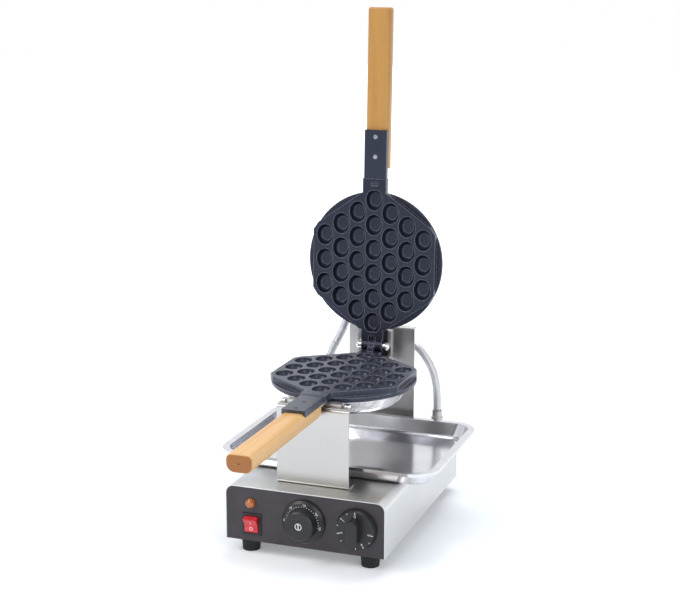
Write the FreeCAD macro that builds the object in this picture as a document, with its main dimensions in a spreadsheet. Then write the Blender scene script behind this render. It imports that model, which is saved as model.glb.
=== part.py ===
import FreeCAD, Part

import math
import os

import Sketcher

# A turning egg waffle pan: two hinged pans with oval cavities on a rotor, over a drip tray and a steel base.
# +Z is up, -Y is the front with the controls, and the origin lies under the middle of the whole, on the table.

# Driving sizes, in millimetres and degrees
SIZES = {
    # base
    "controls_side_room": 10.6,
    "controls_low_room": 8.0,
    "controls_top_room": 8.75,
    "base_sheet": 1.2,
    "base_bend": 12.0,
    "panel_gap": 0.3,
    "panel_recess": 0.2,
    "overlay_sheet": 0.8,
    "plate_sheet": 1.0,
    "vent_length": 60.0,
    "vent_width": 4.0,
    "vent_pitch": 14.0,
    "vent_count": 7,
    # feet
    "foot_height": 20.0,
    "foot_top_radius": 13.8,
    "foot_low_radius": 12.2,
    "foot_from_side": 28.0,
    "foot_from_end": 23.0,
    "foot_bore": 4.4,
    "foot_recess_radius": 6.0,
    "foot_recess_depth": 5.0,
    "foot_screw": 4.0,
    "foot_nut_width": 7.0,
    "foot_nut_height": 3.2,
    # rear plate
    "rear_screw": 3.0,
    "rear_screw_head": 6.0,
    "rear_screw_head_height": 2.2,
    "rear_screw_length": 6.0,
    "rear_screw_inset": 12.0,
    "cord_gland_reach": 12.0,
    "cord_gland_radius": 10.0,
    "cord_gland_stub_radius": 8.0,
    "cord_gland_stub": 9.0,
    "cord_gland_bore": 8.0,
    "cord_gland_from_side": 52.0,
    "cord_gland_height": 30.0,
    # indicator lamp
    "lamp_from_side": 37.5,
    "lamp_from_top": 22.75,
    "lens_radius": 7.0,
    "lens_rim": 2.0,
    "lens_dome": 4.6,
    "lens_stem_radius": 4.8,
    "lens_stem": 4.0,
    "lamp_body_radius": 6.2,
    "lamp_body_length": 22.0,
    # switch
    "switch_from_side": 39.1,
    "switch_low_room": 9.2,
    "bezel_width": 26.6,
    "bezel_tall": 31.2,
    "bezel_thick": 1.8,
    "switch_body_width": 22.4,
    "switch_body_tall": 27.4,
    "switch_body_depth": 22.0,
    "rocker_width": 19.2,
    "rocker_tall": 23.6,
    "rocker_rise": 8.6,
    "rocker_low_rise": 3.4,
    "rocker_depth": 6.0,
    "rocker_pivot_depth": 2.0,
    "rocker_pivot": 2.6,
    "rocker_pivot_length": 1.2,
    "rocker_room": 0.5,
    "rocker_well": 11.0,
    "fit_gap": 0.05,
    # temperature control
    "dial_radius": 30.5,
    "dial_thick": 7.0,
    "knob_radius": 22.0,
    "knob_front_radius": 20.4,
    "knob_tall": 14.4,
    "knob_edge": 1.6,
    "knob_mark_radius": 7.0,
    "knob_mark_depth": 0.4,
    # timer
    "timer_from_dial": 16.3,
    "timer_low_room": 9.6,
    "skirt_radius": 28.8,
    "skirt_front_radius": 26.4,
    "skirt_thick": 8.5,
    "grip_long": 36.0,
    "grip_wide": 15.0,
    "grip_tall": 16.5,
    "grip_edge": 2.5,
    # shafts and bodies behind the panel
    "shaft_diameter": 6.0,
    "shaft_hole_room": 1.0,
    "knob_socket": 12.0,
    "knob_lift": 0.4,
    "control_seat": 8.0,
    "thermostat_width": 34.0,
    "thermostat_tall": 40.0,
    "thermostat_depth": 26.0,
    "timer_width": 42.0,
    "timer_tall": 42.0,
    "timer_depth": 34.0,
    "block_length": 60.0,
    "block_width": 20.0,
    "block_height": 17.0,
    "block_behind_middle": 15.35,
    "block_bore": 5.0,
    "block_ways": 5,
    # drip tray
    "tray_width": 321.0,
    "tray_behind_front_bracket": 31.5,
    "tray_before_rear_bracket": 15.5,
    "tray_height": 21.5,
    "tray_rim": 9.0,
    "tray_lip": 4.5,
    "tray_slope": 7.0,
    "tray_corner": 36.0,
    "tray_sheet": 1.0,
    "tray_bottom_bend": 6.0,
    "tray_lift": 0.3,
    # brackets
    "bracket_width": 104.0,
    "bracket_sheet": 2.0,
    "bracket_bend": 4.0,
    "front_bracket_from_edge": 33.0,
    "front_bracket_to_disc": 21.8,
    "front_bracket_below_axis": 18.05,
    "front_flange": 20.0,
    "rear_bracket_from_hinge": 41.6,
    "rear_bracket_from_edge": 22.3,
    "rear_bracket_above_axis": 27.4,
    "rear_flange": 20.0,
    "rear_top_flange": 9.0,
    # front rest
    "rest_depth": 11.5,
    "rest_behind_bracket": 7.0,
    "rest_height": 6.4,
    "rest_tab_sheet": 1.5,
    "rest_tab_margin": 1.0,
    "rest_tab_behind_bracket": 2.5,
    "rest_tab_depth": 16.5,
    "rest_bolt_inset": 6.5,
    "rest_bolt_room": 2.0,
    "rest_bolt": 5.0,
    "rest_bolt_head": 9.0,
    "rest_bolt_head_height": 4.0,
    "rest_bolt_length": 10.0,
    "notch_gap": 0.6,
    # rotor
    "axis_rise": 128.9,
    "shaft_outer": 19.0,
    "shaft_bore": 12.0,
    "bush_outer": 23.0,
    "bearing_flange_radius": 23.2,
    "bearing_flange": 6.0,
    "bearing_spigot_radius": 15.0,
    "bearing_boss_radius": 15.6,
    "bearing_boss": 5.0,
    "bearing_screw": 5.0,
    "bearing_screw_head": 6.8,
    "bearing_screw_head_height": 3.2,
    "bearing_screw_circle": 39.0,
    "bearing_screw_count": 4,
    "collar_radius": 13.0,
    "collar_thick": 4.0,
    "collar_gap": 0.5,
    "cap_radius": 22.0,
    "cap_depth": 12.0,
    "cap_wall": 2.0,
    "cap_boss_radius": 7.5,
    "cap_boss": 12.0,
    "cap_boss_reach": 2.6,
    "cap_boss_along": 5.6,
    "cap_boss_rise": 5.35,
    # yoke and hinge
    "yoke_room": 0.2,
    "yoke_cheek": 5.0,
    "yoke_low": 28.0,
    "yoke_high": 28.6,
    "yoke_plate_ahead": 19.0,
    "yoke_plate": 5.0,
    "yoke_cheek_behind_pin": 7.2,
    "yoke_arm_ahead": 17.0,
    "yoke_screw": 5.0,
    "yoke_screw_head": 8.0,
    "yoke_screw_head_height": 3.5,
    "yoke_screw_depth": 12.0,
    "yoke_screw_pitch": 15.0,
    "hinge_from_disc": 23.6,
    "hinge_rise": 6.5,
    "hinge_pin": 8.0,
    "hinge_knuckle_radius": 8.4,
    "knuckle_half": 4.5,
    "knuckle_gap": 0.5,
    "ear_half": 16.0,
    "cap_nut_radius": 6.3,
    "cap_nut_length": 9.4,
    "cap_nut_dome": 4.0,
    "open_angle": 92.27,
    "closing_gap": 0.5,
    # pan castings
    "plate_rim": 5.72,
    "plate_side_half": 44.0,
    "plate_corner_inset": 7.5,
    "plate_corner_run": 11.0,
    "plate_root_half": 20.0,
    "plate_root_inset": 1.5,
    "plate_thick": 8.7,
    "disc_past_plate": 9.0,
    "disc_thick": 8.0,
    "disc_round": 6.0,
    "cavity_interlock": 0.04,
    "cavity_end_inset": 11.875,
    "cavity_half_across": 12.7,
    "cavity_half_along": 15.3,
    "cavity_bowl": 12.0,
    "cavity_depth": 9.2,
    "cavity_columns": 7,
    "cavity_middle_count": 6,
    "neck_half": 18.0,
    "neck_past_disc": 20.0,
    "tongue_half": 13.6,
    "tongue_length": 13.0,
    "rear_neck_half": 17.0,
    "rear_neck_past_disc": 12.5,
    "hinge_slot_reach": 4.0,
    "lug_half": 20.8,
    "lug_under_disc": 5.0,
    "lug_behind_hinge": 13.9,
    "lug_low": 24.0,
    "mark_from_neck_end": 8.5,
    "mark_long": 10.0,
    "mark_wide": 4.0,
    "mark_depth": 0.8,
    # cover and heater
    "cover_inset": 6.5,
    "cover_flange": 6.0,
    "cover_slope": 13.0,
    "cover_depth": 24.2,
    "cover_sheet": 1.0,
    "cover_bend": 14.0,
    "heater_inset": 16.0,
    "heater_radius": 4.0,
    "heater_gap": 0.1,
    "heater_turn": 330.0,
    "heater_pin_radius": 2.5,
    "heater_pin": 15.0,
    "post_from_heater": 24.0,
    "post_radius": 5.0,
    "post_count": 3,
    "cover_screw": 3.4,
    "cover_screw_head": 8.0,
    "cover_screw_head_height": 2.4,
    "cover_screw_length": 11.0,
    # handles
    "arm_half": 16.9,
    "arm_length": 70.2,
    "arm_drop": 0.6,
    "arm_plate": 4.5,
    "arm_depth": 9.4,
    "arm_flange": 3.2,
    "arm_edge": 1.0,
    "arm_gap": 0.3,
    "handle_gap": 1.6,
    "handle_length": 230.9,
    "handle_half": 17.7,
    "handle_thick": 24.0,
    "handle_top_round": 8.0,
    "handle_low_round": 11.0,
    "handle_end_round": 3.5,
    "handle_hole": 2.4,
    "handle_hole_depth": 8.0,
    "handle_screw": 3.6,
    "handle_screw_head": 6.4,
    "handle_screw_head_depth": 1.6,
    "handle_screw_length": 21.0,
    "handle_screw_inset": 16.9,
    "handle_screw_pitch": 29.0,
    "tongue_screw": 4.0,
    "tongue_screw_head": 7.2,
    "tongue_screw_head_height": 2.6,
    "tongue_screw_inset": 7.5,
    # terminal box and conduits
    "box_entry_inside_bracket": 5.9,
    "box_entry_edge_inset": 5.8,
    "box_lean": 23.0,
    "box_connector": 11.0,
    "box_connector_radius": 8.0,
    "box_long": 36.0,
    "box_wide": 30.0,
    "box_deep": 16.0,
    "conduit_diameter": 12.0,
    "gland_from_side": 29.0,
    "gland_from_edge": 11.3,
    "gland_flange_radius": 11.0,
    "gland_flange": 4.0,
    "gland_body_radius": 9.0,
    "gland_body": 14.0,
    "gland_cap_radius": 7.6,
    "gland_height": 28.0,
    "gland_stub_radius": 7.0,
    "gland_stub": 8.0,
    "gland_seat": 0.1,
    # cuts run past what they cut by this much
    "overrun": 2.0,
}

# Routes of the conduits, chosen by hand, as steps from the base's glands, the rear cap's boss and the
# upper pan's box: the left one is two nodes that meet half way, because its ends ride on different bodies
RIGHT_START = [(0.0, 0.0, 0.0), (0.0, 0.0, 24.25), (-4.5, 2.5, 52.25), (-18.0, 6.3, 77.25)]
RIGHT_END = [(24.0, -2.5, -9.5), (0.0, 0.0, 0.0)]
LEFT_START = [(0.0, 0.0, 0.0), (0.0, 0.0, 21.25), (-6.5, 0.1, 48.25)]
LEFT_MIDDLE = [(-40.9, 7.46, -84.06), (-30.66, 5.62, -66.4)]
LEFT_END = [(-30.5, 5.59, -66.12), (-20.75, 3.85, -49.32), (-10.18, -0.95, -23.96), (-0.21, -0.02, -0.51)]

doc = FreeCAD.newDocument("EggWafflePan")
sheet = doc.addObject("Spreadsheet::Sheet", "Sizes")


class Term:
    """A size: its value, and the text that gives it in the document's expressions."""

    def __init__(self, value, text):
        self.value = float(value)
        self.text = text

    def __add__(self, other):
        other = term(other)
        return Term(self.value + other.value, f"({self.text} + {other.text})")

    def __sub__(self, other):
        other = term(other)
        return Term(self.value - other.value, f"({self.text} - {other.text})")

    def __mul__(self, other):
        other = term(other)
        return Term(self.value * other.value, f"({self.text} * {other.text})")

    def __truediv__(self, other):
        other = term(other)
        return Term(self.value / other.value, f"({self.text} / {other.text})")

    def __neg__(self):
        return Term(-self.value, f"(-1 * {self.text})")


def term(number):
    """The number as a Term, or the Term itself."""
    if isinstance(number, Term):
        return number
    return Term(number, repr(float(number)))


def sine(angle):
    return Term(math.sin(math.radians(angle.value)), f"sin({angle.text})")


def cosine(angle):
    return Term(math.cos(math.radians(angle.value)), f"cos({angle.text})")


class Sizes:
    """The driving sizes as Terms, one for each cell of the sheet."""


def fill_sheet():
    """Write each driving size to a row of the sheet and give its cell the size's name."""
    sizes = Sizes()
    for row, (name, value) in enumerate(SIZES.items(), start=1):
        sheet.set(f"A{row}", name)
        sheet.set(f"B{row}", str(value))
        sheet.setAlias(f"B{row}", name)
        setattr(sizes, name, Term(value, f"Sizes.{name}"))
    doc.recompute()
    return sizes


S = fill_sheet()
ZERO = Term(0, "0")
ORIGIN = (ZERO, ZERO, ZERO)
UP = FreeCAD.Rotation()
TURNS = {
    "Z": UP,
    "-Z": FreeCAD.Rotation(FreeCAD.Vector(1, 0, 0), 180),
    "X": FreeCAD.Rotation(FreeCAD.Vector(0, 1, 0), 90),
    "-X": FreeCAD.Rotation(FreeCAD.Vector(0, 1, 0), -90),
    "Y": FreeCAD.Rotation(FreeCAD.Vector(1, 0, 0), -90),
    "-Y": FreeCAD.Rotation(FreeCAD.Vector(1, 0, 0), 90),
}
parts = {}


def bind(obj, path, size):
    """Tie one property of obj to a size."""
    obj.setExpression(path, term(size).text)


def place(obj, at, rotation=UP):
    """Turn obj, and tie where it stands to three sizes."""
    obj.Placement = FreeCAD.Placement(FreeCAD.Vector(), rotation)
    for axis, size in zip("xyz", at):
        bind(obj, f"Placement.Base.{axis}", size)
    return obj


def block(name, low, size):
    """A box from its lowest corner and its three sides."""
    obj = doc.addObject("Part::Box", name)
    for side, value in zip(("Length", "Width", "Height"), size):
        bind(obj, side, value)
    return place(obj, low)


def middle_block(name, width, low_y, low_z, deep, tall, middle=ZERO):
    """A box whose width lies evenly about the middle."""
    return block(name, (middle - width / 2, low_y, low_z), (width, deep, tall))


def rod(name, radius, length, at, along="Z"):
    """A cylinder from the middle of one end."""
    obj = doc.addObject("Part::Cylinder", name)
    bind(obj, "Radius", radius)
    bind(obj, "Height", length)
    return place(obj, at, TURNS[along])


def cone(name, radius, far_radius, length, at, along="Z"):
    """A cone from the middle of one end."""
    obj = doc.addObject("Part::Cone", name)
    bind(obj, "Radius1", radius)
    bind(obj, "Radius2", far_radius)
    bind(obj, "Height", length)
    return place(obj, at, TURNS[along])


def hexagon(name, width, length, at, along="Z"):
    """A six-sided bar of a given width across its flats."""
    obj = doc.addObject("Part::Prism", name)
    obj.Polygon = 6
    bind(obj, "Circumradius", width / (2 * math.cos(math.pi / 6)))
    bind(obj, "Height", length)
    return place(obj, at, TURNS[along])


def ring(name, radius, thickness, at):
    """A full ring that lies flat."""
    obj = doc.addObject("Part::Torus", name)
    bind(obj, "Radius1", radius)
    bind(obj, "Radius2", thickness)
    return place(obj, at)


def join(name, *shapes):
    """One solid from shapes that run into each other."""
    obj = doc.addObject("Part::MultiFuse", name)
    obj.Shapes = list(shapes)
    obj.Refine = True
    return obj


def group(name, *shapes):
    """Separate solids kept as one object."""
    obj = doc.addObject("Part::Compound", name)
    obj.Links = list(shapes)
    return obj


def cut(name, base, *tools):
    """The base without its tools."""
    obj = doc.addObject("Part::Cut", name)
    obj.Base = base
    obj.Tool = tools[0] if len(tools) == 1 else group(name + "Tools", *tools)
    return obj


def common(name, base, tool):
    obj = doc.addObject("Part::Common", name)
    obj.Base = base
    obj.Tool = tool
    return obj


def rounded(name, base, *rules):
    """The base with its edges rounded: each rule is a test of an edge and a radius."""
    doc.recompute()
    edges = []
    for number, edge in enumerate(base.Shape.Edges, start=1):
        for test, radius in rules:
            if test(edge):
                edges.append((number, radius.value, radius.value))
                break
    obj = doc.addObject("Part::Fillet", name)
    obj.Base = base
    obj.Edges = edges
    return obj


def close(first, second):
    """True where two lengths are the same to a hundredth."""
    return abs(first - second) < 0.01


def runs(axis):
    """A test for straight edges along one axis."""

    def test(edge):
        if edge.Curve.TypeId != "Part::GeomLine":
            return False
        return abs(abs(getattr(edge.Curve.Direction, axis)) - 1) < 0.001

    return test


def all_of(*tests):
    return lambda edge: all(test(edge) for test in tests)


def lies(axis, size):
    """A test for edges whose middle has a given place on one axis."""
    return lambda edge: close(getattr(edge.CenterOfMass, axis), size.value)


def origin_plane(body, role):
    for feature in body.Origin.OriginFeatures:
        if feature.Role == role:
            return feature
    raise LookupError(role)


def outline(body, plane, points):
    """A closed sketch of straight lines on one of the body's own planes, each corner tied to its two sizes."""
    sketch = body.newObject("Sketcher::SketchObject", body.Name + "Outline")
    sketch.AttachmentSupport = (origin_plane(body, plane), [""])
    sketch.MapMode = "FlatFace"
    corners = [(term(across), term(along)) for across, along in points]
    spots = [FreeCAD.Vector(across.value, along.value, 0) for across, along in corners]
    count = len(spots)
    sketch.addGeometry([Part.LineSegment(spots[i], spots[(i + 1) % count]) for i in range(count)], False)
    rules = [Sketcher.Constraint("Coincident", i, 2, (i + 1) % count, 1) for i in range(count)]
    for i, (across, along) in enumerate(corners):
        rules.append(Sketcher.Constraint("DistanceX", -1, 1, i, 1, across.value))
        rules.append(Sketcher.Constraint("DistanceY", -1, 1, i, 1, along.value))
    sketch.addConstraint(rules)
    for i, (across, along) in enumerate(corners):
        sketch.setExpression(f"Constraints[{count + 2 * i}]", across.text)
        sketch.setExpression(f"Constraints[{count + 2 * i + 1}]", along.text)
    return sketch


def turned(name, profile, at=ORIGIN, along="Z"):
    """A body turned about its own axis, from a profile of radius and height."""
    body = doc.addObject("PartDesign::Body", name)
    sketch = outline(body, "XZ_Plane", profile)
    turn = body.newObject("PartDesign::Revolution", name + "Turn")
    turn.Profile = sketch
    turn.ReferenceAxis = (sketch, ["V_Axis"])
    turn.Angle = 360
    return place(body, at, TURNS[along])


def extruded(name, plane, points, length, at=ORIGIN):
    """A body padded evenly to both sides of a plane."""
    body = doc.addObject("PartDesign::Body", name)
    sketch = outline(body, plane, points)
    pad = body.newObject("PartDesign::Pad", name + "Pad")
    pad.Profile = sketch
    pad.Midplane = True
    bind(pad, "Length", length)
    return place(body, at)


def keep(node, obj):
    """Name obj as one of the parts."""
    obj.Label = node
    parts[node] = obj
    return obj


# Sizes and places that several parts share, worked out from the driving sizes
FULL_TURN = 360
BASE_WIDTH = (S.dial_radius + S.timer_from_dial + S.skirt_radius * 2 + S.controls_side_room) * 2
BASE_HEIGHT = S.controls_low_room + S.dial_radius * 2 + S.controls_top_room
BASE_TOP = S.foot_height + BASE_HEIGHT
INNER_WIDTH = BASE_WIDTH - S.base_sheet * 2
INNER_TOP = BASE_TOP - S.base_sheet
FLOOR_TOP = S.foot_height + S.plate_sheet
LAMP_ACROSS = BASE_WIDTH / 2 - S.lamp_from_side
LAMP_HEIGHT = BASE_HEIGHT - S.lamp_from_top
SWITCH_ACROSS = BASE_WIDTH / 2 - S.switch_from_side
SWITCH_HEIGHT = S.switch_low_room + S.bezel_tall / 2
DIAL_HEIGHT = S.controls_low_room + S.dial_radius
TIMER_ACROSS = S.dial_radius + S.timer_from_dial + S.skirt_radius
TIMER_HEIGHT = S.timer_low_room + S.skirt_radius
CAVITY_PITCH_ACROSS = S.cavity_half_across * 2 - S.cavity_interlock
PLATE_HALF = CAVITY_PITCH_ACROSS * ((S.cavity_columns - 1) / 2) + S.cavity_half_across + S.plate_rim
PLATE_CORNER_ACROSS = PLATE_HALF - S.plate_corner_inset
PLATE_CORNER_ALONG = S.plate_side_half + S.plate_corner_run
DISC_RADIUS = PLATE_HALF + S.disc_past_plate
PLATE_ROOT_ALONG = DISC_RADIUS - S.plate_root_inset
CAVITY_PITCH_ALONG = (DISC_RADIUS - S.cavity_end_inset) / ((S.cavity_middle_count - 1) / 2)
PLATE_LOW = S.plate_thick + S.disc_thick
NECK_END = DISC_RADIUS + S.neck_past_disc
TONGUE_END = NECK_END + S.tongue_length
TONGUE_SCREW_ALONG = NECK_END + S.tongue_screw_inset
MARK_ALONG = NECK_END - S.mark_from_neck_end
REAR_NECK_END = DISC_RADIUS + S.rear_neck_past_disc
HINGE_SLOT_START = REAR_NECK_END - S.hinge_slot_reach
HINGE_BACK = DISC_RADIUS + S.hinge_from_disc
LUG_START = DISC_RADIUS - S.lug_under_disc
LUG_END = HINGE_BACK + S.lug_behind_hinge
YOKE_HALF = S.lug_half + S.yoke_room + S.yoke_cheek
COVER_FLANGE_RADIUS = DISC_RADIUS - S.cover_inset
COVER_WALL_RADIUS = COVER_FLANGE_RADIUS - S.cover_flange
COVER_BOTTOM_RADIUS = COVER_WALL_RADIUS - S.cover_slope
HEATER_RING_RADIUS = COVER_BOTTOM_RADIUS - S.heater_inset
POST_CIRCLE_RADIUS = HEATER_RING_RADIUS - S.post_from_heater
BOX_ENTRY_ACROSS = S.bracket_width / 2 - S.box_entry_inside_bracket
BOX_ENTRY_ALONG = COVER_BOTTOM_RADIUS - S.box_entry_edge_inset
ARM_END = NECK_END + S.arm_gap + S.arm_length
HANDLE_START = TONGUE_END + S.handle_gap
HANDLE_SCREW_NEAR = HANDLE_START + S.handle_screw_inset
HANDLE_SCREW_FAR = HANDLE_SCREW_NEAR + S.handle_screw_pitch
HANDLE_END = HANDLE_START + S.handle_length
PAN_BACK = S.front_bracket_from_edge + S.front_bracket_to_disc + DISC_RADIUS
BASE_DEPTH = PAN_BACK + HINGE_BACK + S.rear_bracket_from_hinge + S.rear_bracket_from_edge
FRONT = (HANDLE_END - PAN_BACK - BASE_DEPTH - S.cord_gland_reach) / 2
REAR = FRONT + BASE_DEPTH
OVERLAY_FACE = FRONT + S.panel_recess
PANEL_FRONT = OVERLAY_FACE + S.overlay_sheet
PANEL_BACK = PANEL_FRONT + S.plate_sheet
PAN_Y = FRONT + PAN_BACK
HINGE_Y = PAN_Y + HINGE_BACK
FRONT_BRACKET = FRONT + S.front_bracket_from_edge
REAR_BRACKET = HINGE_Y + S.rear_bracket_from_hinge
AXIS_Z = BASE_TOP + S.axis_rise
LOWER_FACE = AXIS_Z - S.closing_gap / 2
HINGE_Z = LOWER_FACE + S.hinge_rise
UPPER_HINGE_DROP = S.hinge_rise - S.closing_gap
FRONT_BRACKET_RISE = S.axis_rise - S.front_bracket_below_axis
REAR_BRACKET_RISE = S.axis_rise + S.rear_bracket_above_axis
REST_FRONT = FRONT_BRACKET + S.rest_behind_bracket
REST_BOLT_ACROSS = S.bracket_width / 2 - S.rest_bolt_inset
REST_LENGTH = (REST_BOLT_ACROSS - S.rest_bolt_head / 2 - S.rest_bolt_room) * 2
TRAY_FRONT = FRONT_BRACKET + S.tray_behind_front_bracket
TRAY_DEPTH = REAR_BRACKET - S.tray_before_rear_bracket - TRAY_FRONT
GLAND_ACROSS = BASE_WIDTH / 2 - S.gland_from_side
GLAND_Y = REAR - S.gland_from_edge
GLAND_TOP = BASE_TOP + S.gland_height
BEARING_END = REAR_BRACKET + S.bracket_sheet + S.bearing_flange + S.bearing_boss
CAP_START = BEARING_END + S.collar_gap * 2 + S.collar_thick


def hinge_turn(offset_y, offset_z):
    """Where a point set off from the hinge pin comes to lie when the closed upper pan is opened."""
    turned_y = offset_y * cosine(S.open_angle) + offset_z * sine(S.open_angle)
    turned_z = offset_z * cosine(S.open_angle) - offset_y * sine(S.open_angle)
    return HINGE_Y + turned_y, HINGE_Z + turned_z


UPPER_Y, UPPER_Z = hinge_turn(-HINGE_BACK, -UPPER_HINGE_DROP)
UPPER_TURN = FreeCAD.Rotation(FreeCAD.Vector(1, 0, 0), -S.open_angle.value).multiply(
    FreeCAD.Rotation(FreeCAD.Vector(0, 1, 0), 180)
)
SEATS = {
    "lower": ((ZERO, PAN_Y, LOWER_FACE), UP),
    "upper": ((ZERO, UPPER_Y, UPPER_Z), UPPER_TURN),
}


def spot(place_in_frame):
    """The point with these three sizes."""
    return FreeCAD.Vector(*[term(size).value for size in place_in_frame])


def steps(anchor, table):
    """Points of a route, set off from an anchor."""
    return [anchor + FreeCAD.Vector(*step) for step in table]


RIGHT_GLAND = spot((GLAND_ACROSS, GLAND_Y, GLAND_TOP))
LEFT_GLAND = spot((-GLAND_ACROSS, GLAND_Y, GLAND_TOP))
CAP_BOSS = spot((S.cap_radius + S.cap_boss_reach, CAP_START + S.cap_boss_along, AXIS_Z + S.cap_boss_rise))
BOX_ENTRY = FreeCAD.Placement(spot(SEATS["upper"][0]), UPPER_TURN).multVec(
    spot((BOX_ENTRY_ACROSS, BOX_ENTRY_ALONG, -PLATE_LOW - S.cover_depth - S.box_deep / 2))
)
RIGHT_ROUTE = steps(RIGHT_GLAND, RIGHT_START) + steps(CAP_BOSS, RIGHT_END)
LEFT_LOWER_ROUTE = steps(LEFT_GLAND, LEFT_START) + steps(BOX_ENTRY, LEFT_MIDDLE)
LEFT_UPPER_ROUTE = steps(BOX_ENTRY, LEFT_END)


def seat(side, node, obj):
    """Keep a part that was built in its pan's own frame, and lay it where that pan lies."""
    at, rotation = SEATS[side]
    return keep(f"{side}_{node}", place(obj, at, rotation))


def lower_seat(node, obj):
    """Lay a part that was built in the lower pan's frame, under its own name."""
    at, rotation = SEATS["lower"]
    return keep(node, place(obj, at, rotation))


# Base
def panel_plate(name, front, thick, gap):
    """A plate that fills the housing's front or rear, with the housing's rounded top corners."""
    half = INNER_WIDTH / 2 - gap
    low = S.foot_height + gap
    top = INNER_TOP - gap
    plate = block(name + "Plate", (-half, front, low), (half * 2, thick, top - low))
    corner = all_of(runs("y"), lies("z", top))
    return rounded(name + "Round", plate, (corner, S.base_bend - S.base_sheet - gap))


def control_holes(name, front, thick):
    """What the controls need taken out of a plate of the front panel."""
    start = front - S.overrun
    deep = thick + S.overrun * 2
    low = S.foot_height
    shaft_hole = S.shaft_diameter / 2 + S.shaft_hole_room
    lamp = rod(
        name + "LampHole",
        S.lens_stem_radius + S.fit_gap,
        deep,
        (-LAMP_ACROSS, start, low + LAMP_HEIGHT),
        "Y",
    )
    switch = middle_block(
        name + "SwitchHole",
        S.switch_body_width + S.fit_gap * 2,
        start,
        low + SWITCH_HEIGHT - S.switch_body_tall / 2 - S.fit_gap,
        deep,
        S.switch_body_tall + S.fit_gap * 2,
        -SWITCH_ACROSS,
    )
    dial = rod(name + "DialHole", shaft_hole, deep, (ZERO, start, low + DIAL_HEIGHT), "Y")
    timer = rod(name + "TimerHole", shaft_hole, deep, (TIMER_ACROSS, start, low + TIMER_HEIGHT), "Y")
    return [lamp, switch, dial, timer]


def base_housing():
    """Top and two sides folded from one sheet, open at both ends and below."""
    outer = block(
        "HousingOuter",
        (-BASE_WIDTH / 2, FRONT, S.foot_height),
        (BASE_WIDTH, BASE_DEPTH, BASE_HEIGHT),
    )
    outer_round = rounded("HousingOuterRound", outer, (all_of(runs("y"), lies("z", BASE_TOP)), S.base_bend))
    inner = block(
        "HousingInner",
        (-INNER_WIDTH / 2, FRONT - S.overrun, S.foot_height - S.overrun),
        (INNER_WIDTH, BASE_DEPTH + S.overrun * 2, BASE_HEIGHT - S.base_sheet + S.overrun),
    )
    corner = all_of(runs("y"), lies("z", INNER_TOP))
    inner_round = rounded("HousingInnerRound", inner, (corner, S.base_bend - S.base_sheet))
    holes = [
        rod(
            f"HousingGlandHole{number}",
            S.gland_stub_radius + S.fit_gap,
            S.base_sheet + S.overrun * 2,
            (across, GLAND_Y, INNER_TOP - S.overrun),
        )
        for number, across in enumerate((-GLAND_ACROSS, GLAND_ACROSS))
    ]
    keep("base_housing", cut("Housing", outer_round, inner_round, *holes))


def foot_places():
    """The four feet: name, across and along."""
    across = BASE_WIDTH / 2 - S.foot_from_side
    front = FRONT + S.foot_from_end
    rear = REAR - S.foot_from_end
    return [
        ("front_left", -across, front),
        ("front_right", across, front),
        ("rear_left", -across, rear),
        ("rear_right", across, rear),
    ]


def base_bottom():
    """Bottom plate with a row of vent slots and the feet's screw holes."""
    long = BASE_DEPTH - (S.panel_recess + S.overlay_sheet + S.plate_sheet) * 2
    plate = middle_block("BottomPlate", INNER_WIDTH, PANEL_BACK, S.foot_height, long, S.plate_sheet)
    low = S.foot_height - S.overrun
    deep = S.plate_sheet + S.overrun * 2
    holes = [
        rod(f"BottomHole{name}", S.foot_bore / 2, deep, (across, along, low))
        for name, across, along in foot_places()
    ]
    for number in range(int(S.vent_count.value)):
        along = FRONT + BASE_DEPTH / 2 + S.vent_pitch * (number - (S.vent_count.value - 1) / 2)
        holes.append(middle_block(f"Vent{number}", S.vent_length, along, low, S.vent_width, deep))
    keep("base_bottom", cut("Bottom", plate, *holes))


def front_panel():
    """Steel plate behind the controls, and the dark overlay on its face."""
    plate = panel_plate("Front", PANEL_FRONT, S.plate_sheet, ZERO)
    keep("front_panel", cut("FrontPanel", plate, *control_holes("Front", PANEL_FRONT, S.plate_sheet)))
    overlay = panel_plate("Overlay", OVERLAY_FACE, S.overlay_sheet, S.panel_gap)
    keep("panel_overlay", cut("Overlay", overlay, *control_holes("Overlay", OVERLAY_FACE, S.overlay_sheet)))


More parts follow.
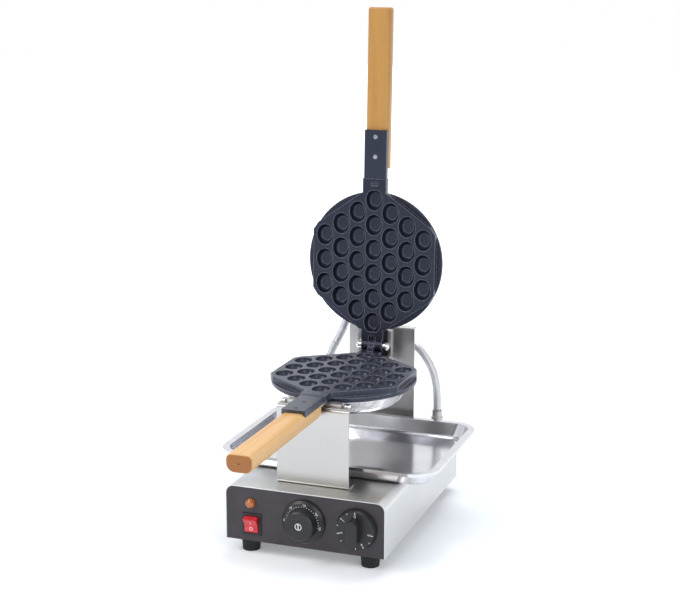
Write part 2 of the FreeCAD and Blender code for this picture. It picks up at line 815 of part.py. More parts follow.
def rear_panel():
    """Rear plate, its screws and the gland that the mains cord would leave through."""
    rear = REAR
    start = rear - S.plate_sheet - S.panel_recess
    plate = panel_plate("Rear", start, S.plate_sheet, ZERO)
    gland_x = BASE_WIDTH / 2 - S.cord_gland_from_side
    gland_z = S.foot_height + S.cord_gland_height
    gland_hole = rod(
        "RearGlandHole",
        S.cord_gland_stub_radius + S.fit_gap,
        S.plate_sheet + S.overrun * 2,
        (gland_x, start - S.overrun, gland_z),
        "Y",
    )
    screw_x = BASE_WIDTH / 2 - S.rear_screw_inset
    screw_z = (S.foot_height + S.rear_screw_inset, BASE_TOP - S.base_bend - S.rear_screw_inset)
    spots = [(side, height) for side in (-screw_x, screw_x) for height in screw_z]
    holes = [gland_hole]
    screws = []
    for number, (side, height) in enumerate(spots):
        hole = rod(
            f"RearScrewHole{number}",
            S.rear_screw / 2 + S.fit_gap,
            S.plate_sheet + S.overrun * 2,
            (side, start - S.overrun, height),
            "Y",
        )
        holes.append(hole)
        screws.append(
            screw(
                f"RearScrew{number}",
                S.rear_screw,
                S.rear_screw_length,
                S.rear_screw_head,
                S.rear_screw_head_height,
                (side, start + S.plate_sheet, height),
                "-Y",
            )
        )
    keep("rear_panel", cut("RearPanel", plate, *holes))
    keep("rear_panel_screws", group("RearScrews", *screws))
    bore = S.cord_gland_bore / 2
    reach = S.cord_gland_reach + S.panel_recess
    profile = [
        (bore, -S.cord_gland_stub),
        (S.cord_gland_stub_radius, -S.cord_gland_stub),
        (S.cord_gland_stub_radius, ZERO),
        (S.cord_gland_radius, ZERO),
        (S.cord_gland_radius, reach / 2),
        (S.cord_gland_stub_radius, reach),
        (bore, reach),
    ]
    gland = turned("MainsGland", profile, (gland_x, start + S.plate_sheet, gland_z), "Y")
    keep("mains_gland", gland)


def screw(name, diameter, length, head, head_height, at, along):
    """A round-headed screw: its shank runs along the axis from the underside of its head."""
    edge = head_height / 3
    profile = [
        (ZERO, -head_height),
        (head / 2 - edge, -head_height),
        (head / 2, edge - head_height),
        (head / 2, ZERO),
        (diameter / 2, ZERO),
        (diameter / 2, length),
        (ZERO, length),
    ]
    return turned(name, profile, at, along)


def feet():
    """Four tapered feet, each held by a screw with its nut above the bottom plate."""
    top = S.foot_height
    screws = []
    for name, across, along in foot_places():
        bore = S.foot_bore / 2
        profile = [
            (bore, top),
            (S.foot_top_radius, top),
            (S.foot_low_radius, ZERO),
            (S.foot_recess_radius, ZERO),
            (S.foot_recess_radius, S.foot_recess_depth),
            (bore, S.foot_recess_depth),
        ]
        keep(f"foot_{name}", turned(f"Foot_{name}", profile, (across, along, ZERO)))
        length = FLOOR_TOP + S.foot_nut_height + S.plate_sheet - S.foot_recess_depth
        head = S.foot_recess_radius * 2 - S.overrun
        bolt = screw(
            f"FootScrew_{name}",
            S.foot_screw,
            length,
            head,
            S.foot_recess_depth / 2,
            (across, along, S.foot_recess_depth),
            "Z",
        )
        nut = hexagon(f"FootNut_{name}", S.foot_nut_width, S.foot_nut_height, (across, along, FLOOR_TOP))
        nut_bore = rod(f"FootNutBore_{name}", S.foot_screw / 2, S.foot_nut_height, (across, along, FLOOR_TOP))
        screws += [bolt, cut(f"FootNutRing_{name}", nut, nut_bore)]
    keep("foot_screws", group("FootScrews", *screws))


# Controls
def indicator_lamp():
    """Amber lens with a domed face, and the lamp body behind the panel."""
    at = (-LAMP_ACROSS, OVERLAY_FACE, S.foot_height + LAMP_HEIGHT)
    profile = [
        (ZERO, -S.lens_stem),
        (S.lens_stem_radius, -S.lens_stem),
        (S.lens_stem_radius, ZERO),
        (S.lens_radius, ZERO),
        (S.lens_radius, S.lens_rim),
        (S.lens_radius * 0.86, S.lens_rim + S.lens_dome * 0.55),
        (S.lens_radius * 0.5, S.lens_rim + S.lens_dome * 0.9),
        (ZERO, S.lens_rim + S.lens_dome),
    ]
    keep("lamp_lens", turned("LampLens", profile, at, "-Y"))
    behind = (at[0], OVERLAY_FACE + S.lens_stem, at[2])
    keep("lamp_body", rod("LampBody", S.lamp_body_radius, S.lamp_body_length, behind, "Y"))


def rocker_switch():
    """Switch body with its bezel and well, and the rocker on two trunnions in it."""
    low = S.foot_height + SWITCH_HEIGHT
    bezel = middle_block(
        "SwitchBezel",
        S.bezel_width,
        OVERLAY_FACE - S.bezel_thick,
        low - S.bezel_tall / 2,
        S.bezel_thick,
        S.bezel_tall,
        -SWITCH_ACROSS,
    )
    box = middle_block(
        "SwitchBox",
        S.switch_body_width,
        OVERLAY_FACE,
        low - S.switch_body_tall / 2,
        S.switch_body_depth,
        S.switch_body_tall,
        -SWITCH_ACROSS,
    )
    well_width = S.rocker_width + S.rocker_room * 2
    well_tall = S.rocker_tall + S.rocker_room * 2
    well = middle_block(
        "SwitchWell",
        well_width,
        OVERLAY_FACE - S.bezel_thick - S.overrun,
        low - well_tall / 2,
        S.bezel_thick + S.rocker_well + S.overrun,
        well_tall,
        -SWITCH_ACROSS,
    )
    pivot_y = OVERLAY_FACE + S.rocker_pivot_depth
    trunnion = S.rocker_width / 2 + S.rocker_pivot_length
    start = -SWITCH_ACROSS - trunnion
    seat_rod = rod(
        "TrunnionSeat",
        S.rocker_pivot / 2 + S.fit_gap,
        trunnion * 2 + S.fit_gap * 2,
        (start - S.fit_gap, pivot_y, low),
        "X",
    )
    shell = join("SwitchShell", bezel, box)
    keep("switch_body", cut("SwitchBody", shell, well, seat_rod))
    half = S.rocker_tall / 2
    face = S.rocker_pivot_depth + S.bezel_thick
    profile = [
        (-(face + S.rocker_rise), half * 0.78),
        (-(face + S.rocker_rise * 0.35), ZERO),
        (-(face + S.rocker_low_rise / 2), half * -0.92),
        (ZERO, half * -0.99),
        (S.rocker_depth / 2, half * -0.95),
        (S.rocker_depth, half * -0.5),
        (S.rocker_depth, half * 0.5),
        (S.rocker_depth / 2, half * 0.95),
        (ZERO, half * 0.99),
        (-face, half * 0.95),
    ]
    at = (-SWITCH_ACROSS, pivot_y, low)
    lever = extruded("RockerLever", "YZ_Plane", profile, S.rocker_width, at)
    pin = rod("RockerPin", S.rocker_pivot / 2, trunnion * 2, (start, pivot_y, low), "X")
    keep("switch_rocker", join("Rocker", lever, pin))


def control_shaft(node, across, height, knob_low):
    """A shaft that runs from its body, through the panel, into its knob."""
    seat_y = PANEL_BACK + S.control_seat
    start = knob_low - S.knob_socket
    at = (across, start, S.foot_height + height)
    keep(node, rod(node + "Rod", S.shaft_diameter / 2, seat_y - start, at, "Y"))


def control_body(node, across, height, width, tall, deep):
    """A closed control body on the back of the panel, with the seat that its shaft turns in."""
    middle = S.foot_height + height
    body = middle_block(node + "Box", width, PANEL_BACK, middle - tall / 2, deep, tall, across)
    hole = rod(
        node + "Seat",
        S.shaft_diameter / 2 + S.fit_gap,
        S.control_seat + S.fit_gap,
        (across, PANEL_BACK, middle),
        "Y",
    )
    keep(node, cut(node + "Body", body, hole))


def temperature_control():
    """Fixed dial ring on the panel, turning knob, shaft and thermostat body."""
    at = (ZERO, OVERLAY_FACE, S.foot_height + DIAL_HEIGHT)
    hole = S.shaft_diameter / 2 + S.shaft_hole_room
    edge = S.dial_thick / 2
    dial = [
        (hole, ZERO),
        (S.dial_radius, ZERO),
        (S.dial_radius, S.dial_thick - edge),
        (S.dial_radius - edge, S.dial_thick),
        (hole, S.dial_thick),
    ]
    keep("temperature_dial", turned("Dial", dial, at, "-Y"))
    knob_low = OVERLAY_FACE - S.dial_thick - S.knob_lift
    socket = S.shaft_diameter / 2 + S.fit_gap
    deep = S.knob_socket + S.fit_gap
    knob = [
        (socket, ZERO),
        (S.knob_radius, ZERO),
        (S.knob_front_radius, S.knob_tall - S.knob_edge),
        (S.knob_front_radius - S.knob_edge, S.knob_tall),
        (S.knob_mark_radius, S.knob_tall),
        (S.knob_mark_radius, S.knob_tall - S.knob_mark_depth),
        (ZERO, S.knob_tall - S.knob_mark_depth),
        (ZERO, deep),
        (socket, deep),
    ]
    keep("temperature_knob", turned("Knob", knob, (at[0], knob_low, at[2]), "-Y"))
    control_shaft("thermostat_shaft", ZERO, DIAL_HEIGHT, knob_low)
    control_body(
        "thermostat_body",
        ZERO,
        DIAL_HEIGHT,
        S.thermostat_width,
        S.thermostat_tall,
        S.thermostat_depth,
    )


def timer_control():
    """Timer knob: a skirt with an upright grip, its shaft and the timer body."""
    knob_low = OVERLAY_FACE - S.knob_lift
    middle = S.foot_height + TIMER_HEIGHT
    socket = S.shaft_diameter / 2 + S.fit_gap
    deep = S.knob_socket + S.fit_gap
    skirt = turned(
        "TimerSkirt",
        [
            (ZERO, ZERO),
            (S.skirt_radius, ZERO),
            (S.skirt_front_radius, S.skirt_thick),
            (ZERO, S.skirt_thick),
        ],
        (TIMER_ACROSS, knob_low, middle),
        "-Y",
    )
    grip = middle_block(
        "TimerGrip",
        S.grip_wide,
        knob_low - S.skirt_thick - S.grip_tall,
        middle - S.grip_long / 2,
        S.grip_tall + S.skirt_thick / 2,
        S.grip_long,
        TIMER_ACROSS,
    )
    grip_face = knob_low - S.skirt_thick - S.grip_tall
    soft = rounded(
        "TimerGripRound",
        grip,
        (all_of(runs("y")), S.grip_wide / 2 - S.fit_gap),
        (all_of(runs("z"), lies("y", grip_face)), S.grip_edge),
    )
    hole = rod("TimerSocket", socket, deep, (TIMER_ACROSS, knob_low - deep, middle), "Y")
    keep("timer_knob", cut("TimerKnob", join("TimerKnobSolid", skirt, soft), hole))
    control_shaft("timer_shaft", TIMER_ACROSS, TIMER_HEIGHT, knob_low)
    control_body(
        "timer_body", TIMER_ACROSS, TIMER_HEIGHT, S.timer_width, S.timer_tall, S.timer_depth
    )


def terminal_block():
    """Terminal block on the bottom plate, with a row of wire holes."""
    start = FRONT + BASE_DEPTH / 2 + S.block_behind_middle
    body = middle_block("BlockBody", S.block_length, start, FLOOR_TOP, S.block_width, S.block_height)
    holes = []
    for number in range(int(S.block_ways.value)):
        share = (number + 0.5) / S.block_ways.value - 0.5
        at = (S.block_length * share, start - S.overrun, FLOOR_TOP + S.block_height / 2)
        holes.append(rod(f"BlockHole{number}", S.block_bore / 2, S.block_width + S.overrun * 2, at, "Y"))
    keep("terminal_block", cut("Block", body, *holes))


# Drip tray
def tray_wedge(name, inset, low, top, corner, bend):
    """A shallow tapered solid with rounded corners: the outside or the inside of the tray's bowl."""
    foot = inset + S.tray_slope
    obj = doc.addObject("Part::Wedge", name)
    half = S.tray_width / 2
    front = TRAY_FRONT
    sides = {
        "Xmin": inset - half,
        "Xmax": half - inset,
        "X2min": foot - half,
        "X2max": half - foot,
        "Ymin": -top,
        "Ymax": -low,
        "Zmin": front + inset,
        "Zmax": front + TRAY_DEPTH - inset,
        "Z2min": front + foot,
        "Z2max": front + TRAY_DEPTH - foot,
    }
    for side, value in sides.items():
        bind(obj, side, value)
    place(obj, ORIGIN, TURNS["Y"])
    low_edge = lies("z", low)
    top_edge = lies("z", top)
    corners = rounded(name + "Corners", obj, (lambda edge: not low_edge(edge) and not top_edge(edge), corner))
    return rounded(name + "Bend", corners, (lies("z", low), bend))


def drip_tray():
    """Pressed tray: flat rim with a turned-down lip, sloping walls and a flat bottom."""
    low = BASE_TOP + S.tray_lift
    top = low + S.tray_height
    half = S.tray_width / 2
    front = TRAY_FRONT
    rim = block(
        "TrayRim",
        (-half, front, top - S.tray_lip),
        (S.tray_width, TRAY_DEPTH, S.tray_lip),
    )
    rim_round = rounded("TrayRimRound", rim, (runs("z"), S.tray_corner))
    under = block(
        "TrayUnder",
        (S.tray_sheet - half, front + S.tray_sheet, top - S.tray_lip - S.overrun),
        (
            S.tray_width - S.tray_sheet * 2,
            TRAY_DEPTH - S.tray_sheet * 2,
            S.tray_lip - S.tray_sheet + S.overrun,
        ),
    )
    under_round = rounded("TrayUnderRound", under, (runs("z"), S.tray_corner - S.tray_sheet))
    edge = cut("TrayEdge", rim_round, under_round)
    inset = S.tray_rim
    corner = S.tray_corner - S.tray_rim
    bowl = tray_wedge("TrayBowl", inset, low, top, corner, S.tray_bottom_bend)
    slope = S.tray_slope / S.tray_height
    inner = tray_wedge(
        "TrayInside",
        inset + S.tray_sheet,
        low + S.tray_sheet,
        top + S.tray_sheet * slope,
        corner - S.tray_sheet,
        S.tray_bottom_bend - S.tray_sheet,
    )
    keep("drip_tray", cut("Tray", join("TrayOutside", edge, bowl), inner))


# Brackets
def folded_bracket(name, front, rise, flange):
    """A sheet folded back at its top and its foot, on top of the base."""
    outer = middle_block(name + "Outer", S.bracket_width, front, BASE_TOP, flange, rise)
    at_front = all_of(runs("x"), lies("y", front))
    outer_round = rounded(name + "OuterRound", outer, (at_front, S.bracket_bend))
    inner_front = front + S.bracket_sheet
    inner = middle_block(
        name + "Inner",
        S.bracket_width + S.overrun * 2,
        inner_front,
        BASE_TOP + S.bracket_sheet,
        flange,
        rise - S.bracket_sheet * 2,
    )
    inner_at_front = all_of(runs("x"), lies("y", inner_front))
    inner_round = rounded(name + "InnerRound", inner, (inner_at_front, S.bracket_bend - S.bracket_sheet))
    return outer_round, inner_round


def notch(name, start, deep):
    """The round way that the pans' necks turn in, about the rotor's axis."""
    corner = math.hypot(S.neck_half.value, S.plate_thick.value + S.closing_gap.value)
    radius = Term(corner, f"sqrt({S.neck_half.text} ^ 2 + ({S.plate_thick.text} + {S.closing_gap.text}) ^ 2)")
    return rod(name, radius + S.notch_gap, deep, (ZERO, start, AXIS_Z), "Y")


def front_bracket():
    """Front bracket, the rest on its top flange and the rest's two bolts."""
    outer, inner = folded_bracket("FrontBracket", FRONT_BRACKET, FRONT_BRACKET_RISE, S.front_flange)
    top = BASE_TOP + FRONT_BRACKET_RISE
    front = FRONT_BRACKET
    bolt_y = REST_FRONT + S.rest_depth / 2
    bolt_holes = [
        rod(
            f"FrontBoltHole{number}",
            S.rest_bolt / 2 + S.fit_gap,
            S.bracket_sheet + S.overrun * 2,
            (side, bolt_y, top - S.bracket_sheet - S.overrun),
        )
        for number, side in enumerate((-REST_BOLT_ACROSS, REST_BOLT_ACROSS))
    ]
    neck_way = notch("FrontNotch", front - S.overrun, S.front_flange + S.overrun * 2)
    keep("front_bracket", cut("FrontBracket", outer, inner, neck_way, *bolt_holes))
    bar = middle_block("RestBar", REST_LENGTH, REST_FRONT, top, S.rest_depth, S.rest_height)
    tab = middle_block(
        "RestTab",
        S.bracket_width - S.rest_tab_margin * 2,
        FRONT_BRACKET + S.rest_tab_behind_bracket,
        top,
        S.rest_tab_depth,
        S.rest_tab_sheet,
    )
    tab_holes = [
        rod(
            f"RestBoltHole{number}",
            S.rest_bolt / 2 + S.fit_gap,
            S.rest_tab_sheet + S.overrun * 2,
            (side, bolt_y, top - S.overrun),
        )
        for number, side in enumerate((-REST_BOLT_ACROSS, REST_BOLT_ACROSS))
    ]
    way = notch("RestNotch", front - S.overrun, S.front_flange + S.overrun * 2)
    keep("front_rest", cut("Rest", join("RestSolid", bar, tab), way, *tab_holes))
    bolts = []
    for number, side in enumerate((-REST_BOLT_ACROSS, REST_BOLT_ACROSS)):
        head_low = top + S.rest_tab_sheet
        head = hexagon(
            f"RestBoltHead{number}",
            S.rest_bolt_head,
            S.rest_bolt_head_height,
            (side, bolt_y, head_low),
        )
        shank = rod(f"RestBoltShank{number}", S.rest_bolt / 2, S.rest_bolt_length, (side, bolt_y, head_low), "-Z")
        bolts.append(join(f"RestBolt{number}", head, shank))
    keep("front_rest_bolts", group("RestBolts", *bolts))


def rear_bracket():
    """Rear bracket with the hole that the bearing's spigot fits."""
    outer, inner = folded_bracket("RearBracket", REAR_BRACKET, REAR_BRACKET_RISE, S.rear_flange)
    start = REAR_BRACKET - S.overrun
    deep = S.bracket_sheet + S.overrun * 2
    holes = [rod("BearingHole", S.bearing_spigot_radius + S.fit_gap, deep, (ZERO, start, AXIS_Z), "Y")]
    for number, (across, height) in enumerate(bearing_screw_places()):
        hole = S.bearing_screw / 2 + S.fit_gap
        holes.append(rod(f"BracketScrewHole{number}", hole, deep, (across, start, height), "Y"))
    short = middle_block(
        "RearTopCut",
        S.bracket_width + S.overrun * 2,
        REAR_BRACKET + S.rear_top_flange,
        BASE_TOP + REAR_BRACKET_RISE - S.bracket_sheet - S.overrun,
        S.rear_flange,
        S.bracket_sheet + S.overrun * 2,
    )
    keep("rear_bracket", cut("RearBracket", outer, inner, short, *holes))


# Rotor
def bearing_screw_places():
    """Across and height of the screws round the bearing."""
    places = []
    for number in range(int(S.bearing_screw_count.value)):
        angle = Term(FULL_TURN * (number + 0.5) / S.bearing_screw_count.value, None)
        angle.text = repr(angle.value)
        across = S.bearing_screw_circle / 2 * cosine(angle)
        places.append((across, AXIS_Z + S.bearing_screw_circle / 2 * sine(angle)))
    return places


def rotor_bearing():
    """Flanged bearing on the back of the rear bracket, its screws and its bush."""
    plate_back = REAR_BRACKET + S.bracket_sheet
    bore = S.bush_outer / 2
    reach = S.bearing_flange + S.bearing_boss
    profile = [
        (bore, -S.bracket_sheet),
        (S.bearing_spigot_radius, -S.bracket_sheet),
        (S.bearing_spigot_radius, ZERO),
        (S.bearing_flange_radius, ZERO),
        (S.bearing_flange_radius, S.bearing_flange),
        (S.bearing_boss_radius, S.bearing_flange),
        (S.bearing_boss_radius, reach),
        (bore, reach),
    ]
    housing = turned("BearingHousing", profile, (ZERO, plate_back, AXIS_Z), "Y")
    holes = []
    screws = []
    for number, (across, height) in enumerate(bearing_screw_places()):
        at = (across, plate_back, height)
        holes.append(rod(f"BearingScrewHole{number}", S.bearing_screw / 2 + S.fit_gap, S.bearing_flange, at, "Y"))
        screws.append(
            screw(
                f"BearingScrew{number}",
                S.bearing_screw,
                S.bearing_flange + S.bracket_sheet,
                S.bearing_screw_head,
                S.bearing_screw_head_height,
                (across, plate_back + S.bearing_flange, height),
                "-Y",
            )
        )
    keep("rotor_bearing", cut("Bearing", housing, *holes))
    keep("bearing_screws", group("BearingScrews", *screws))
    inner = S.shaft_outer / 2 + S.fit_gap
    low = -S.bracket_sheet
    bush = [(inner, low), (bore, low), (bore, reach), (inner, reach)]
    keep("rotor_bush", turned("Bush", bush, (ZERO, plate_back, AXIS_Z), "Y"))


def rotor_shaft():
    """Hollow shaft through the bearing, the collar that holds it, and the fixed cap that its wires enter by."""
    start = HINGE_Y + S.yoke_plate_ahead - S.yoke_plate
    end = CAP_START + S.cap_wall
    inner = S.shaft_bore / 2
    outer = S.shaft_outer / 2
    tube = [(inner, ZERO), (outer, ZERO), (outer, end - start), (inner, end - start)]
    keep("rotor_shaft", turned("Shaft", tube, (ZERO, start, AXIS_Z), "Y"))
    collar = [
        (outer + S.fit_gap, ZERO),
        (S.collar_radius, ZERO),
        (S.collar_radius, S.collar_thick),
        (outer + S.fit_gap, S.collar_thick),
    ]
    keep("shaft_collar", turned("Collar", collar, (ZERO, BEARING_END + S.collar_gap, AXIS_Z), "Y"))
    way = outer + S.fit_gap
    room = S.cap_radius - S.cap_wall
    cap = [
        (way, ZERO),
        (S.cap_radius, ZERO),
        (S.cap_radius, S.cap_depth),
        (ZERO, S.cap_depth),
        (ZERO, S.cap_depth - S.cap_wall),
        (room, S.cap_depth - S.cap_wall),
        (room, S.cap_wall),
        (way, S.cap_wall),
    ]
    shell = turned("CapShell", cap, (ZERO, CAP_START, AXIS_Z), "Y")
    last = RIGHT_ROUTE[-1]
    heading = (last - RIGHT_ROUTE[-2]).normalize()
    boss = doc.addObject("Part::Cylinder", "CapBoss")
    bind(boss, "Radius", S.cap_boss_radius)
    bind(boss, "Height", S.cap_boss)
    boss.Placement = FreeCAD.Placement(last, FreeCAD.Rotation(FreeCAD.Vector(0, 0, 1), heading))
    bore = doc.addObject("Part::Cylinder", "CapBossBore")
    bind(bore, "Radius", S.conduit_diameter / 2 - S.cap_wall)
    bind(bore, "Height", S.cap_boss)
    bore.Placement = boss.Placement
    keep("rear_cap", cut("RearCap", join("CapSolid", shell, boss), bore))


def rotor_yoke():
    """Yoke: an upright plate on the shaft, with two cheeks that reach forward beside the lower pan's lug."""
    plate_y = HINGE_BACK + S.yoke_plate_ahead
    face = ZERO - S.closing_gap / 2
    low = -S.yoke_low
    tall = S.yoke_low + S.yoke_high
    plate = block(
        "YokePlate",
        (-YOKE_HALF, plate_y - S.yoke_plate, low),
        (YOKE_HALF * 2, S.yoke_plate, tall),
    )
    cheeks = []
    front_y = HINGE_BACK + S.yoke_cheek_behind_pin
    arm_y = HINGE_BACK - S.yoke_arm_ahead
    for number, side in enumerate((-YOKE_HALF, YOKE_HALF - S.yoke_cheek)):
        cheeks.append(
            block(f"YokeCheek{number}", (side, front_y, low), (S.yoke_cheek, plate_y - front_y, tall))
        )
        arm_top = -S.plate_thick
        cheeks.append(
            block(f"YokeArm{number}", (side, arm_y, low), (S.yoke_cheek, plate_y - arm_y, arm_top - low))
        )
    shaft_hole = rod(
        "YokeShaftHole",
        S.shaft_outer / 2,
        S.yoke_plate + S.overrun * 2,
        (ZERO, plate_y - S.yoke_plate - S.overrun, ZERO - face),
        "Y",
    )
    solid = join("YokeSolid", plate, *cheeks)
    screw_holes = []
    screws = []
    for number, (side, along, direction) in enumerate(yoke_screw_places()):
        screw_holes.append(
            rod(
                f"YokeScrewHole{number}",
                S.yoke_screw / 2 + S.fit_gap,
                S.yoke_cheek,
                (side, along, yoke_screw_height()),
                direction,
            )
        )
        screws.append(
            screw(
                f"YokeScrew{number}",
                S.yoke_screw,
                S.yoke_screw_depth,
                S.yoke_screw_head,
                S.yoke_screw_head_height,
                (side, along, yoke_screw_height()),
                direction,
            )
        )
    lower_seat("rotor_yoke", cut("Yoke", solid, shaft_hole, *screw_holes))
    lower_seat("yoke_screws", group("YokeScrews", *screws))


def yoke_screw_height():
    """Middle of the lower pan's lug, in that pan's own frame."""
    return -(S.plate_thick + S.lug_low) / 2


def yoke_screw_places():
    """Where the yoke's screws enter: the cheek's outer face, how far back, and which way they point."""
    near = HINGE_BACK - S.yoke_arm_ahead / 2
    spots = []
    for along in (near, near + S.yoke_screw_pitch):
        spots.append((-YOKE_HALF, along, "X"))
        spots.append((YOKE_HALF, along, "-X"))
    return spots


def hinge():
    """Hinge pin through the knuckles, with a cap nut on each end."""
    half = S.ear_half + S.cap_nut_length - S.cap_nut_dome
    at = (-half, HINGE_BACK, S.hinge_rise)
    pin = rod("HingePinRod", S.hinge_pin / 2, half * 2, at, "X")
    lower_seat("hinge_pin", group("HingePin", pin))
    bore = S.hinge_pin / 2
    nuts = []
    for direction, start in (("X", S.ear_half + S.knuckle_gap), ("-X", -S.ear_half - S.knuckle_gap)):
        shoulder = S.cap_nut_length - S.cap_nut_dome
        profile = [
            (bore, ZERO),
            (S.cap_nut_radius, ZERO),
            (S.cap_nut_radius, shoulder),
            (S.cap_nut_radius * 0.8, shoulder + S.cap_nut_dome * 0.6),
            (S.cap_nut_radius * 0.4, S.cap_nut_length - S.cap_nut_dome * 0.08),
            (ZERO, S.cap_nut_length),
            (ZERO, shoulder),
            (bore, shoulder),
        ]
        nuts.append(turned("CapNut" + direction[0], profile, (start, HINGE_BACK, S.hinge_rise), direction))
    lower_seat("hinge_nuts", group("HingeNuts", *nuts))


# Pans
def cavity_places():
    """Across and along of every cavity: columns of falling count on both sides of the middle one."""
    middle = (int(S.cavity_columns.value) - 1) // 2
    places = []
    for column in range(-middle, middle + 1):
        count = int(S.cavity_middle_count.value) - abs(column)
        for row in range(count):
            along = CAVITY_PITCH_ALONG * (row - (count - 1) / 2)
            places.append((CAVITY_PITCH_ACROSS * column, along))
    return places


def cavities():
    """Oval bowls with flat floors, as one cutter for both pans."""
    bowls = []
    for number, (across, along) in enumerate(cavity_places()):
        bowl = doc.addObject("Part::Ellipsoid", f"Bowl{number}")
        bind(bowl, "Radius1", S.cavity_bowl)
        bind(bowl, "Radius2", S.cavity_half_across)
        bind(bowl, "Radius3", S.cavity_half_along)
        bowls.append(place(bowl, (across, along, ZERO)))
    slab = middle_block(
        "BowlSlab",
        DISC_RADIUS * 2,
        -DISC_RADIUS - S.overrun,
        -S.cavity_depth,
        (DISC_RADIUS + S.overrun) * 2,
        S.cavity_depth + S.overrun,
    )
    return common("Cavities", slab, group("Bowls", *bowls))


def post_places(name):
    """The posts that the cover is screwed to."""
    spots = []
    for number in range(int(S.post_count.value)):
        angle = term(FULL_TURN * (number / S.post_count.value - 0.25))
        spots.append(
            (f"{name}{number}", POST_CIRCLE_RADIUS * cosine(angle), POST_CIRCLE_RADIUS * sine(angle))
        )
    return spots


def pan_body(side):
    """What both castings share: plate, disc, neck with its tongue, and the posts for the cover."""
    half = PLATE_HALF
    flat = S.plate_side_half
    corner_x = PLATE_CORNER_ACROSS
    corner_y = PLATE_CORNER_ALONG
    root_x = S.plate_root_half
    root_y = PLATE_ROOT_ALONG
    quarter = [(half, flat), (corner_x, corner_y), (root_x, root_y)]
    points = quarter + [(-x, y) for x, y in reversed(quarter)]
    points += [(-x, -y) for x, y in quarter] + [(x, -y) for x, y in reversed(quarter)]
    plate = extruded(
        f"{side}Plate", "XY_Plane", points, S.plate_thick, (ZERO, ZERO, -S.plate_thick / 2)
    )
    disc = rod(f"{side}Disc", DISC_RADIUS, S.disc_thick, (ZERO, ZERO, -PLATE_LOW))
    disc_round = rounded(f"{side}DiscRound", disc, (lies("z", -PLATE_LOW), S.disc_round))
    neck = middle_block(
        f"{side}Neck",
        S.neck_half * 2,
        -NECK_END,
        -S.plate_thick,
        NECK_END - PLATE_ROOT_ALONG + S.overrun,
        S.plate_thick,
    )
    tongue_top = -S.arm_drop - S.arm_plate - S.fit_gap
    tongue = middle_block(
        f"{side}Tongue",
        S.tongue_half * 2,
        -TONGUE_END,
        -S.plate_thick,
        TONGUE_END - NECK_END + S.overrun,
        tongue_top + S.plate_thick,
    )
    rear_neck = middle_block(
        f"{side}RearNeck",
        S.rear_neck_half * 2,
        PLATE_ROOT_ALONG - S.overrun,
        -S.plate_thick,
        REAR_NECK_END - PLATE_ROOT_ALONG + S.overrun,
        S.plate_thick,
    )
    post_length = S.cover_depth - S.cover_sheet
    posts = [
        rod(name, S.post_radius, post_length + S.overrun, (across, along, -PLATE_LOW - post_length))
        for name, across, along in post_places(f"{side}Post")
    ]
    return [plate, disc_round, neck, tongue, rear_neck, *posts]


def pan_cuts(side, bowls):
    """What both castings lose: cavities, the heater's groove, screw holes and the bare recess on the neck."""
    groove = ring(
        f"{side}Groove", HEATER_RING_RADIUS, S.heater_radius + S.heater_gap, (ZERO, ZERO, -PLATE_LOW)
    )
    mark = middle_block(
        f"{side}Mark",
        S.mark_long,
        -MARK_ALONG - S.mark_wide / 2,
        -S.mark_depth,
        S.mark_wide,
        S.mark_depth + S.overrun,
    )
    tongue_hole = rod(
        f"{side}TongueHole",
        S.tongue_screw / 2 + S.fit_gap,
        S.plate_thick + S.overrun,
        (ZERO, -TONGUE_SCREW_ALONG, -S.plate_thick - S.overrun),
    )
    low = -PLATE_LOW - S.cover_depth + S.cover_sheet
    holes = [
        rod(name, S.cover_screw / 2, S.cover_screw_length, (across, along, low))
        for name, across, along in post_places(f"{side}PostHole")
    ]
    return [bowls, groove, mark, tongue_hole, *holes]


def lower_pan(bowls):
    """Lower casting: a middle knuckle above its face, and a lug below that the yoke's cheeks hold."""
    web = middle_block(
        "LowerWeb",
        S.knuckle_half * 2,
        HINGE_SLOT_START + S.knuckle_gap * 2,
        -S.plate_thick,
        HINGE_BACK - HINGE_SLOT_START - S.knuckle_gap * 2,
        S.plate_thick + S.hinge_rise,
    )
    knuckle = rod(
        "LowerKnuckle",
        S.hinge_knuckle_radius,
        S.knuckle_half * 2,
        (-S.knuckle_half, HINGE_BACK, S.hinge_rise),
        "X",
    )
    lug = middle_block(
        "LowerLug",
        S.lug_half * 2,
        LUG_START,
        -S.lug_low,
        LUG_END - LUG_START,
        S.lug_low - S.plate_thick,
    )
    solid = join("LowerPanSolid", *pan_body("Lower"), web, knuckle, lug)
    pin = rod(
        "LowerPinHole",
        S.hinge_pin / 2 + S.fit_gap,
        S.knuckle_half * 4,
        (-S.knuckle_half * 2, HINGE_BACK, S.hinge_rise),
        "X",
    )
    screw_holes = [
        rod(
            f"LugScrewHole{number}",
            S.yoke_screw / 2,
            S.yoke_screw_depth,
            (side, along, yoke_screw_height()),
            direction,
        )
        for number, (side, along, direction) in enumerate(yoke_screw_places())
    ]
    seat("lower", "pan", cut("LowerPan", solid, *pan_cuts("Lower", bowls), pin, *screw_holes))


